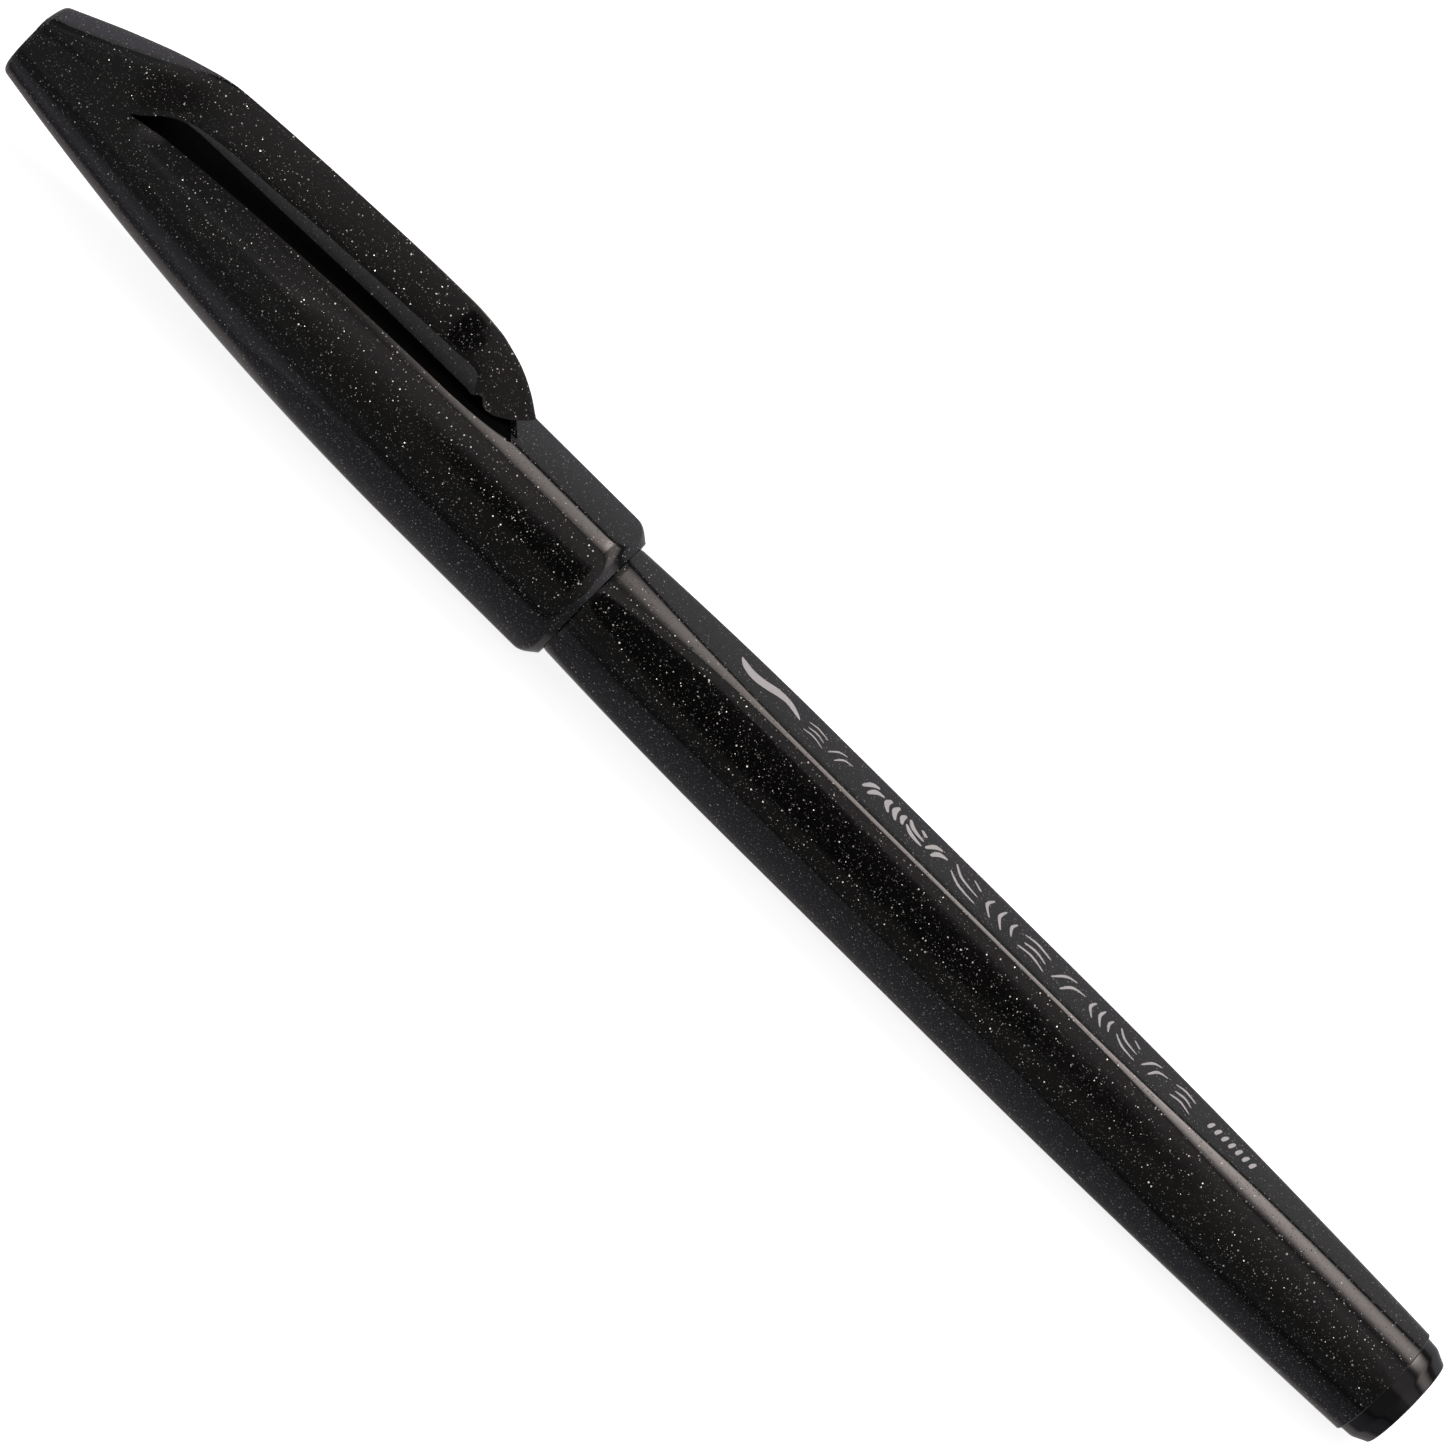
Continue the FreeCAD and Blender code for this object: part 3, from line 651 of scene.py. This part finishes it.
def build_nib():
    """The nib: a pointed felt tip that swells a little, a shoulder, and its stem."""
    tip = [(13.0, 0.0), (13.02, 0.12, 0.02), (14.2, 0.5, 0.3), (16.0, 0.92, 0.4), (17.8, 1.2, 0.3),
           (18.4, 1.25, 0.2), (18.8, 1.22, 0.05), (18.8, 1.0, 0), (53.5, 1.0, 0.1), (53.5, 0.0)]
    return turned("felt_nib", tip, count=64)


def build_liner():
    """The cap's liner: a cup that tapers like its seat."""
    return turned("cap_liner", [
        (11.0, 0.0), (11.0, 2.5, 0.1), (33.5, 3.45, 0.05), (33.5, 2.9, 0.1), (27.4, 2.9, 0.1),
        (26.9, 2.75, 0.1), (11.55, 1.95, 0.1), (11.55, 0.0)])


# ---------------------------------------------------------------------------------------------------------
# Print: generic brush marks along the top flat of the barrel, pad-printed on its surface
# ---------------------------------------------------------------------------------------------------------
PRINT_LIFT = 0.012
# the large brush stroke, as (x, v, width) points
SWATCH = [(66.96, 0.62, 0.22), (67.75, 0.02, 0.85), (68.62, -0.15, 1.04), (69.6, 0.12, 1.0),
          (70.6, 0.58, 0.95), (71.46, 0.7, 0.77), (72.2, 0.46, 0.58), (73.05, -0.06, 0.22)]
# abstract brush marks in a cell one wide and one high: each stroke is a few (across, up, width) points
DABS = [
    [[(0.05, 0.80, 0.5), (0.45, 0.92, 1.2), (0.95, 0.80, 0.7)],
     [(0.15, 0.45, 0.7), (0.55, 0.55, 1.2), (0.9, 0.40, 0.5)],
     [(0.05, 0.08, 0.6), (0.5, 0.20, 1.1), (0.98, 0.02, 0.5)]],
    [[(0.15, 0.95, 0.6), (0.05, 0.5, 1.2), (0.3, 0.05, 0.5)],
     [(0.55, 1.0, 0.5), (0.48, 0.5, 1.2), (0.7, 0.0, 0.5)],
     [(0.95, 0.9, 0.5), (0.88, 0.55, 1.1), (1.0, 0.15, 0.5)]],
    [[(0.0, 0.15, 0.5), (0.3, 0.75, 1.1), (0.62, 0.95, 0.6)],
     [(0.35, 0.0, 0.5), (0.6, 0.55, 1.2), (0.98, 0.72, 0.5)]],
    [[(0.02, 0.95, 0.6), (0.35, 0.55, 1.2), (0.95, 0.40, 0.5)],
     [(0.0, 0.45, 0.5), (0.4, 0.12, 1.2), (1.0, 0.02, 0.5)],
     [(0.62, 0.98, 0.7), (0.92, 0.78, 1.0)]],
]
PRINT_ROW = [
    # first cell's x, cell width, gap, bottom, top, stroke width, patterns
    (73.5, 2.1, 0.4, -0.75, 1.15, 0.16, (0, 2)),
    (79.4, 1.85, 0.25, -0.7, 1.2, 0.40, (2, 1, 3, 2)),
    (88.1, 2.9, 0.55, -1.25, 1.4, 0.24, (3, 1, 0, 2)),
    (101.9, 2.2, 0.55, -1.1, 1.25, 0.22, (1, 3, 2, 0)),
]
TICKS_FROM, TICKS_TO, TICK_COUNT = 113.9, 118.7, 7


class Print(Shape):
    """Flat marks on the barrel's top flat, from x along the barrel and v across it."""

    def mark(self, lower, upper):
        """A thin tablet between two edges of (x, v) points."""
        rows = []
        for near, far in zip(lower, upper):
            row = [place(x, v, barrel_top(x, v) + PRINT_LIFT) for x, v in (near, far)]
            row += [place(x, v, barrel_top(x, v) - PRINT_LIFT) for x, v in (far, near)]
            rows.append(row)
        self.strip(rows, closed=True)

    def stroke(self, points, width, steps):
        """A brush stroke along a curve through (x, v, width) points, pointed at both ends."""
        spaced = list(zip(*points))
        last = len(points) - 1
        lower, upper = [], []
        for i in range(steps + 1):
            t = last * i / steps
            x, v, broad = (bend(values, t) for values in spaced)
            ahead = [bend(values, min(t + 0.02, last)) for values in spaced[:2]]
            behind = [bend(values, max(t - 0.02, 0)) for values in spaced[:2]]
            run = Vector((ahead[0] - behind[0], ahead[1] - behind[1])).normalized()
            end = min(i, steps - i) / steps
            half = 0.5 * width * broad * min(1.0, (end / 0.07) ** 0.5)
            lower.append((x + run.y * half, v - run.x * half))
            upper.append((x - run.y * half, v + run.x * half))
        self.mark(lower, upper)

    def cell(self, x, wide, bottom, top, width, strokes):
        """A cell's brush marks, drawn in its box."""
        for points in strokes:
            placed = [(x + u * wide, bottom + v * (top - bottom), broad) for u, v, broad in points]
            self.stroke(placed, width, 20)


def bend(values, t):
    """A Catmull-Rom curve through values one step apart."""
    i = min(int(t), len(values) - 2)
    p = [values[min(max(k, 0), len(values) - 1)] for k in (i - 1, i, i + 1, i + 2)]
    t -= i
    return p[1] + 0.5 * t * (p[2] - p[0] + t * (2 * p[0] - 5 * p[1] + 4 * p[2] - p[3]
                                                + t * (3 * (p[1] - p[2]) + p[3] - p[0])))


def build_print():
    """A brush stroke, then fine, bold and light groups of brush marks, and a row of short ticks."""
    marks = Print()
    marks.stroke(SWATCH, 1.0, 48)
    for start, wide, gap, bottom, top, width, patterns in PRINT_ROW:
        for k, pattern in enumerate(patterns):
            marks.cell(start + k * (wide + gap), wide, bottom, top, width, DABS[pattern])
    for x in spread(TICKS_FROM, TICKS_TO, TICK_COUNT):
        marks.stroke([(x, -0.45, 0.8), (x + 0.12, 0.1, 1.2), (x + 0.3, 0.65, 0.7)], 0.27, 10)
    return marks.make("barrel_print")


# ---------------------------------------------------------------------------------------------------------
# Materials
# ---------------------------------------------------------------------------------------------------------
class Tree:
    """A node tree with short ways to add and join nodes."""

    def __init__(self, owner):
        owner.use_nodes = True
        self.nodes, self.links = owner.node_tree.nodes, owner.node_tree.links

    def add(self, kind, inputs=(), **settings):
        """A new node; inputs are sockets to link or values to set, in the node's own order."""
        node = self.nodes.new(kind)
        for key, value in settings.items():
            setattr(node, key, value)
        for socket, value in zip(node.inputs, inputs):
            self.feed(value, socket)
        return node

    def feed(self, value, socket):
        if isinstance(value, bpy.types.NodeSocket):
            self.links.new(value, socket)
        elif value is not None:
            socket.default_value = value

    def math(self, operation, *inputs, clamp=False):
        return self.add("ShaderNodeMath", inputs, operation=operation, use_clamp=clamp).outputs[0]

    def remap(self, value, low, high, out_low=0.0, out_high=1.0, form="LINEAR"):
        inputs = (value, low, high, out_low, out_high)
        return self.add("ShaderNodeMapRange", inputs, interpolation_type=form).outputs[0]

    def ramp(self, value, low, high, stops):
        """A colour that follows a value; stops are (value, colour)."""
        node = self.add("ShaderNodeValToRGB", (self.remap(value, low, high),))
        elements = node.color_ramp.elements
        while len(elements) < len(stops):
            elements.new(0.5)
        for element, (at, colour) in zip(elements, stops):
            element.position = (at - low) / (high - low)
            element.color = (*colour, 1.0)
        return node.outputs[0]

    def mix(self, amount, first, second):
        """A colour between two, by amount."""
        node = self.add("ShaderNodeMix", data_type="RGBA")
        self.feed(amount, node.inputs[0])
        colours = [socket for socket in node.inputs if socket.type == "RGBA"]
        for socket, value in zip(colours, (first, second)):
            self.feed((*value, 1.0) if isinstance(value, tuple) else value, socket)
        return next(socket for socket in node.outputs if socket.type == "RGBA")

    def scaled(self, colour, amount):
        """A colour times an amount."""
        node = self.add("ShaderNodeVectorMath", (colour,), operation="SCALE")
        self.feed(amount, node.inputs["Scale"])
        return node.outputs[0]


class Finish(Tree):
    """A material on the Principled shader, patterned by place on the piece in millimetres."""

    def __init__(self, name, **values):
        self.material = bpy.data.materials.new(name)
        super().__init__(self.material)
        self.shader = self.nodes["Principled BSDF"]
        for key, value in values.items():
            self.shader.inputs[key.replace("_", " ")].default_value = value
        coordinates = self.add("ShaderNodeTexCoord").outputs["Object"]
        scaled = self.add("ShaderNodeVectorMath", (coordinates,), operation="SCALE")
        scaled.inputs["Scale"].default_value = 1 / MM
        self.where = scaled.outputs[0]

    def drawn(self, stretch):
        """Places stretched along the marker, for streaks."""
        node = self.add("ShaderNodeMapping", (self.where,))
        node.inputs["Scale"].default_value = (stretch, 1.0, 1.0)
        return node.outputs[0]

    def noise(self, per_mm, detail=3.0, where=None):
        node = self.add("ShaderNodeTexNoise", (where or self.where,))
        node.inputs["Scale"].default_value = per_mm
        node.inputs["Detail"].default_value = detail
        return node.outputs["Fac"]

    def colour(self, value):
        self.feed(value, self.shader.inputs["Base Color"])

    def roughness(self, pattern, low, high):
        self.feed(self.remap(pattern, 0.3, 0.7, low, high), self.shader.inputs["Roughness"])

    def bump(self, height, strength, distance_mm, normal=None):
        node = self.add("ShaderNodeBump")
        self.feed(normal, node.inputs["Normal"])
        node.inputs["Strength"].default_value = strength
        node.inputs["Distance"].default_value = distance_mm * MM
        self.feed(height, node.inputs["Height"])
        self.feed(node.outputs[0], self.shader.inputs["Normal"])


FLAKES = [
    # cell size, radius and brightness: a few bright flakes, more grey ones, and fine dust
    (0.42, 0.066, 1.0),
    (0.28, 0.052, 0.7),
    (0.17, 0.036, 0.30),
]
FLAKE_SILVER = (0.95, 0.93, 0.90)
FLAKE_LEAN = 1.5
FLAKE_ROUGHNESS = 0.34


def flakes(m):
    """Silver specks of three sizes: how bright they are, and which way each little mirror leans."""
    shine, lean = 0.0, (0.0, 0.0, 0.0)
    for number, (cell, radius, brightness) in enumerate(FLAKES):
        shifted = m.add("ShaderNodeVectorMath", (m.where, (17.3 * number, 5.1 * number, 9.7 * number)),
                        operation="ADD")
        cells = m.add("ShaderNodeTexVoronoi", (shifted.outputs[0],), feature="F1")
        cells.inputs["Scale"].default_value = 1 / cell
        split = m.add("ShaderNodeSeparateColor", (cells.outputs["Color"],))
        size = m.remap(split.outputs[0], 0.0, 1.0, 0.6 * radius / cell, 1.15 * radius / cell)
        inside = m.math("SUBTRACT", size, cells.outputs["Distance"])
        inside = m.math("DIVIDE", inside, 0.15 * radius / cell, clamp=True)
        glow = m.math("MULTIPLY", m.math("POWER", split.outputs[1], 1.2), brightness)
        shine = m.math("MULTIPLY_ADD", inside, glow, shine, clamp=True)
        centred = m.add("ShaderNodeVectorMath", (cells.outputs["Color"], (0.5, 0.5, 0.5)),
                        operation="SUBTRACT")
        leaning = m.scaled(centred.outputs[0], m.math("MULTIPLY", inside, FLAKE_LEAN))
        lean = m.add("ShaderNodeVectorMath", (leaning, lean), operation="ADD").outputs[0]
    return shine, lean


def flaked(m, base, low, high, pattern):
    """Put silver flakes in a base colour; they are leaning bits of metal. The leaning normal is returned."""
    shine, lean = flakes(m)
    m.colour(m.mix(shine, base, FLAKE_SILVER))
    metal = m.math("MULTIPLY", shine, 4.0, clamp=True)
    m.feed(metal, m.shader.inputs["Metallic"])
    plain = m.remap(pattern, 0.3, 0.7, low, high)
    rough = m.math("MAXIMUM", plain, m.math("MULTIPLY", metal, FLAKE_ROUGHNESS))
    m.feed(rough, m.shader.inputs["Roughness"])
    normal = m.add("ShaderNodeNewGeometry").outputs["Normal"]
    leaned = m.add("ShaderNodeVectorMath", (normal, lean), operation="ADD").outputs[0]
    return m.add("ShaderNodeVectorMath", (leaned,), operation="NORMALIZE").outputs[0]


def glitter_plastic():
    """Black moulded plastic with silver flakes in it, a slight unevenness and fine scuffs."""
    m = Finish("glitter_plastic", IOR=1.5)
    base = m.mix(m.noise(0.35), (0.0010, 0.0010, 0.0011), (0.0028, 0.0026, 0.0025))
    normal = flaked(m, base, 0.05, 0.10, m.noise(1.8, 4.0))
    m.bump(m.noise(6.0, 2.0), 0.02, 0.01, normal)
    return m.material


def satin_painted_sheen():
    """The same plastic where the mould is left matt, below the clip's eaves. Its base colour is far paler
    than the plastic's: a painted sheen that stands in for light reflected off the clip's side walls.
    """
    m = Finish("satin_painted_sheen", IOR=1.5)
    # painted sheen: a pale, faintly blue grey in place of the black plastic, standing in for reflected light
    base = m.mix(m.noise(2.5, 4.0), (0.018, 0.018, 0.020), (0.036, 0.036, 0.039))
    normal = flaked(m, base, 0.42, 0.55, m.noise(4.0, 4.0))
    m.bump(m.noise(14.0, 2.0), 0.10, 0.02, normal)
    return m.material


def matt_painted_shade():
    """A dull, rough finish inside the recess and under the clip. Its darker colour, almost absent reflection
    and missing flakes are painted shade.
    """
    m = Finish("matt_painted_shade", Specular_IOR_Level=0.03)
    # painted shade: darker than the plastic around it, where the clip shades the recess
    m.colour(m.mix(m.noise(3.0, 4.0), (0.0006, 0.0006, 0.0006), (0.0016, 0.0016, 0.0017)))
    m.roughness(m.noise(6.0, 4.0), 0.55, 0.72)
    m.bump(m.noise(16.0, 2.0), 0.15, 0.02)
    return m.material


def polished_black():
    """The plug's and the grip's clear black plastic, with faint handling marks."""
    m = Finish("polished_black", IOR=1.5)
    m.colour(m.mix(m.noise(0.8), (0.0010, 0.0010, 0.0012), (0.004, 0.004, 0.0045)))
    m.roughness(m.noise(2.5, 5.0), 0.05, 0.11)
    m.bump(m.noise(5.0, 2.0), 0.02, 0.01)
    return m.material


def felt(name, dark, light, stretch):
    """Bundled fibre soaked in ink: streaks along the axis, rough, with a little sheen."""
    m = Finish(name, Sheen_Weight=0.2)
    streaks = m.noise(9.0, 6.0, m.drawn(stretch))
    m.colour(m.mix(streaks, dark, light))
    m.roughness(streaks, 0.55, 0.85)
    m.bump(streaks, 0.5, 0.05)
    return m.material


def milky_plastic():
    """The liner's soft milky plastic."""
    m = Finish("milky_plastic", Subsurface_Weight=0.15, Subsurface_Scale=0.5 * MM)
    m.colour(m.mix(m.noise(0.7), (0.55, 0.55, 0.53), (0.66, 0.66, 0.64)))
    m.roughness(m.noise(3.0, 4.0), 0.32, 0.48)
    m.bump(m.noise(5.0), 0.08, 0.02)
    return m.material


def clear_film():
    """The clear film round the fibre core, with faint lengthwise creases."""
    m = Finish("clear_film", Transmission_Weight=0.7, Alpha=0.5)
    creases = m.noise(3.0, 4.0, m.drawn(0.08))
    m.colour(m.mix(creases, (0.75, 0.76, 0.78), (0.85, 0.86, 0.88)))
    m.roughness(creases, 0.06, 0.18)
    m.bump(creases, 0.2, 0.05)
    return m.material


def printed_ink():
    """Light grey pad-printed ink, thinner in places."""
    m = Finish("printed_ink")
    cover = m.noise(7.0, 5.0)
    m.colour(m.mix(cover, (0.50, 0.50, 0.51), (0.72, 0.72, 0.74)))
    m.roughness(cover, 0.35, 0.55)
    m.bump(cover, 0.15, 0.01)
    return m.material


def pale_floor():
    """A matte white table top, lit a little from below like a photographer's light table."""
    m = Finish("pale_floor", Roughness=0.9, Specular_IOR_Level=0.0, Emission_Strength=0.87)
    m.colour(m.mix(m.noise(0.02), (0.62, 0.62, 0.62), (0.66, 0.66, 0.66)))
    m.shader.inputs["Emission Color"].default_value = (1.0, 1.0, 1.0, 1.0)
    return m.material


# ---------------------------------------------------------------------------------------------------------
# Pieces
# ---------------------------------------------------------------------------------------------------------
def fit(piece, body, slot, material, *nodes):
    """Give a piece its material, its body and the CAD nodes that it stands for."""
    piece.data.materials.append(material)
    if nodes:
        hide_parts(*nodes)
    if body:
        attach(piece, body)


def mark_satin_painted_sheen(clip):
    """The clip's upright side walls get the second, satin material, whose paler colour is painted sheen, and
    its underside the third, matt one, whose dark colour is painted shade.
    """
    clip.data.materials.append(satin_painted_sheen())
    clip.data.materials.append(matt_painted_shade())
    for face in clip.data.polygons:
        if along(face.center.x) < CLIP_FOOT:
            if abs(face.normal.y) > 0.7 and face.normal.z < 0.3:
                face.material_index = 1
            elif face.normal.z < -0.8:
                face.material_index = 2


def before_shift(x, w, angle):
    """The x from which step_shift moved a point to x."""
    start = x
    for _ in range(6):
        start = x - step_shift(start, w, angle)
    return start


def mark_recess_painted_shade(cap):
    """The recess gets the matt material with its painted shade inside: its floor, its ceiling and the step up
    to the landing pad.
    """
    cap.data.materials.append(matt_painted_shade())
    for face in cap.data.polygons:
        w, r = abs(face.center.y) / MM, (face.center.z - AXIS_Z) / MM
        x = before_shift(along(face.center.x), w, math.degrees(math.atan2(w, r)))
        if not RECESS_START < x < STEP_AT_MIDDLE + STEP_REACH or w > RECESS_HALF_WIDTH:
            continue
        floor = abs(r - floor_height(x)) < 0.04 and face.normal.z > 0.93
        step = x > STEP_AT_MIDDLE - STEP_REACH and r > floor_height(x) - 0.02
        ceiling_or_end = r > floor_height(x) - 0.02 and face.normal.z < -0.2
        if floor or step or ceiling_or_end:
            face.material_index = 1


shell, gloss = glitter_plastic(), polished_black()
cap = build_cap()
fit(cap, "cap", "glitter_shell", shell, "cap_shell")
mark_recess_painted_shade(cap)
fit(build_liner(), "cap", "liner", milky_plastic(), "inner_cap")
clip = build_clip()
fit(clip, None, "glitter_shell", shell, "pocket_clip")
mark_satin_painted_sheen(clip)
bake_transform(clip)
fit(build_barrel(), "barrel", "glitter_shell", shell, "barrel")
fit(build_tail_plug(), "barrel", "plug", gloss, "tail_plug")
fit(build_front_section(), "barrel", "grip", gloss, "front_section")
felt_tip = felt("felt_tip", (0.006, 0.006, 0.007), (0.03, 0.03, 0.034), 0.12)
fit(build_nib(), "barrel", "nib", felt_tip, "brush_nib")
fit(build_print(), "barrel", "print", printed_ink())
for node, material in (("ink_reservoir", felt("ink_fibre", (0.01, 0.01, 0.012), (0.06, 0.06, 0.07), 0.05)),
                       ("reservoir_film", clear_film())):
    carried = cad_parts[node]
    carried.data.materials.clear()
    carried.data.materials.append(material)

# ---------------------------------------------------------------------------------------------------------
# Studio: floor, soft light and camera
# ---------------------------------------------------------------------------------------------------------
FLOOR_SIZE = 3.0
FLOOR_DROP = 0.0002


def build_floor():
    """A pale plane that the cap's lowest flat and the tail rest on."""
    bpy.ops.mesh.primitive_plane_add(size=FLOOR_SIZE)
    floor = bpy.context.object
    floor.name = "floor"
    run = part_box("barrel")[1].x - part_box("cap_shell")[1].x + MOUTH_BEVEL * MM
    drop = AXIS_Z - barrel_flat(BARREL_END) * MM
    floor.rotation_euler = (0.0, -math.atan(drop / run), 0.0)
    floor.location = (0.0, 0.0, -FLOOR_DROP)
    floor.visible_glossy = False
    floor.data.materials.append(pale_floor())


WARM, BROWN, PLAIN, VIOLET = (1.13, 1.0, 0.95), (1.05, 1.0, 0.95), (1.02, 1.0, 1.03), (1.05, 1.0, 1.13)
ROOM = [
    # degrees round the marker's axis, from the front horizon up over the top, and brightness and tint there
    (-180, 0.30, PLAIN), (-130, 0.30, PLAIN), (-100, 0.42, WARM), (-95, 0.36, PLAIN), (-91.5, 0.19, VIOLET),
    (-88, 0.155, VIOLET), (-84, 0.13, VIOLET), (-76, 0.17, VIOLET), (-60, 0.18, VIOLET), (-43, 0.14, VIOLET),
    (-38, 0.06, PLAIN), (-31, 0.07, PLAIN), (-26, 0.15, PLAIN), (-5, 0.145, BROWN), (26, 0.145, BROWN),
    (31, 0.19, BROWN), (36, 0.22, PLAIN), (72, 0.21, PLAIN), (79, 0.13, PLAIN), (122, 0.11, PLAIN),
    (138, 0.13, PLAIN), (145, 0.42, PLAIN), (153, 0.42, PLAIN), (161, 0.38, VIOLET), (170, 0.30, VIOLET),
    (180, 0.28, PLAIN),
]
# lights on top of the room: degrees and brightness, and for the lamp also brightness along the marker
LAMP = [(79, 0.0), (83, 0.09), (88, 0.36), (92, 0.76), (100, 1.0), (106, 1.0), (114, 0.72), (121, 0.3),
        (127, 0.0)]
LAMP_ALONG = [(-0.34, 0.0), (-0.26, 0.05), (-0.14, 0.12), (-0.10, 0.26), (-0.07, 0.38), (-0.03, 0.45),
              (0.0, 0.66), (0.03, 0.95), (0.09, 1.0), (0.14, 0.60), (0.19, 0.42), (0.28, 0.22)]
LAMP_BRIGHTNESS = 8.0
LAMP_SKEW = 5.0
BAND = [(29, 0.0), (36, 0.9), (44, 1.0), (70, 0.85), (79, 0.2), (84, 0.0)]
BAND_BRIGHTNESS = 0.30
LEFT_LOW = [(-80, 0.0), (-62, 0.22), (-42, 0.17), (-30, 0.06), (-18, 0.0)]
LEFT_MIDDLE = [(-12, 0.0), (-4, 0.11), (24, 0.11), (34, 0.2), (46, 0.0)]
# brightness straight to the sides, from below to above
SIDES = [(-0.5, (0.17, 0.16, 0.18)), (-0.1, (0.22, 0.21, 0.24)), (0.3, (0.85, 0.82, 0.92)),
         (0.9, (0.9, 0.87, 0.92))]
# the dark hole of the lens: its place sideways, degrees up, radius, edge and brightness
LENS_HOLE = (0.006, 31.8, 0.066)
HOLE_SOFTNESS = 0.006
HOLE_LEVEL = 0.10


def light_studio():
    """A soft room: a long lamp overhead, dim walls and table, and the dark hole of the lens."""
    world = bpy.data.worlds.new("soft_studio")
    bpy.context.scene.world = world
    t = Tree(world)
    direction = t.add("ShaderNodeTexCoord").outputs["Generated"]
    x, y, z = t.add("ShaderNodeSeparateXYZ", (direction,)).outputs
    turn = t.math("DEGREES", t.math("ARCTAN2", z, t.math("MULTIPLY", y, -1.0)))
    light = t.ramp(turn, -180, 180, [(at, shade(level, tint)) for at, level, tint in ROOM])
    along_lamp = t.ramp(x, -0.36, 0.36, [(at, shade(level)) for at, level in LAMP_ALONG])
    skewed = t.math("ADD", turn, t.remap(x, 0.03, -0.05, 0.0, LAMP_SKEW))
    for stops, tint, brightness, angle, strength in (
            (LAMP, WARM, LAMP_BRIGHTNESS, skewed, along_lamp),
            (BAND, WARM, BAND_BRIGHTNESS, turn, t.remap(x, -0.29, -0.17)),
            (LEFT_LOW, VIOLET, 1.0, turn, t.remap(x, -0.05, -0.14)),
            (LEFT_MIDDLE, PLAIN, 1.0, turn, t.remap(x, -0.10, -0.28))):
        glow = t.ramp(angle, -180, 180, [(at, shade(level, tint)) for at, level in stops])
        amount = t.math("MULTIPLY", strength, brightness)
        light = t.add("ShaderNodeVectorMath", (light, t.scaled(glow, amount)), operation="ADD").outputs[0]
    at, height, size = LENS_HOLE
    centre = (at, -math.cos(math.radians(height)), math.sin(math.radians(height)))
    away = t.add("ShaderNodeVectorMath", (direction, centre), operation="DISTANCE").outputs["Value"]
    open_air = t.remap(away, size - HOLE_SOFTNESS, size + HOLE_SOFTNESS, HOLE_LEVEL, 1.0, "SMOOTHSTEP")
    sides = t.ramp(z, -1, 1, SIDES)
    sideways = t.remap(t.math("ABSOLUTE", x), 0.78, 0.95, 0.0, 1.0, "SMOOTHSTEP")
    t.feed(t.mix(sideways, t.scaled(light, open_air), sides), t.nodes["Background"].inputs["Color"])


def shade(level, tint=(1.0, 1.0, 1.0)):
    """A colour of the given brightness and tint."""
    return tuple(level * c for c in tint)


VIEW_ELEVATION = 28.8
VIEW_ROLL = 44.7
VIEW_DISTANCE = 0.552
VIEW_ALONG, VIEW_UP = 0.24, 0.25
LENS_MM = 192.9


def place_camera():
    """The camera looks from the front and above, rolled so that the crown is at the upper left."""
    raised, roll = math.radians(VIEW_ELEVATION), math.radians(VIEW_ROLL)
    toward = Vector((0, -math.cos(raised), math.sin(raised)))
    along_view = Vector((1, 0, 0))
    up_view = toward.cross(along_view)
    right = along_view * math.cos(roll) + up_view * math.sin(roll)
    up = up_view * math.cos(roll) - along_view * math.sin(roll)
    eye = Vector((VIEW_ALONG * MM, 0, AXIS_Z)) + up_view * VIEW_UP * MM + toward * VIEW_DISTANCE
    camera = bpy.data.objects.new("camera", bpy.data.cameras.new("camera"))
    bpy.context.scene.collection.objects.link(camera)
    turned_to = Matrix((right, up, toward)).transposed().to_4x4()
    camera.matrix_world = Matrix.Translation(eye) @ turned_to
    camera.data.lens, camera.data.sensor_width = LENS_MM, 36.0
    camera.data.clip_start, camera.data.clip_end = 0.05, 10.0
    bpy.context.scene.camera = camera


build_floor()
light_studio()
place_camera()
bpy.context.scene.view_settings.view_transform = "Standard"
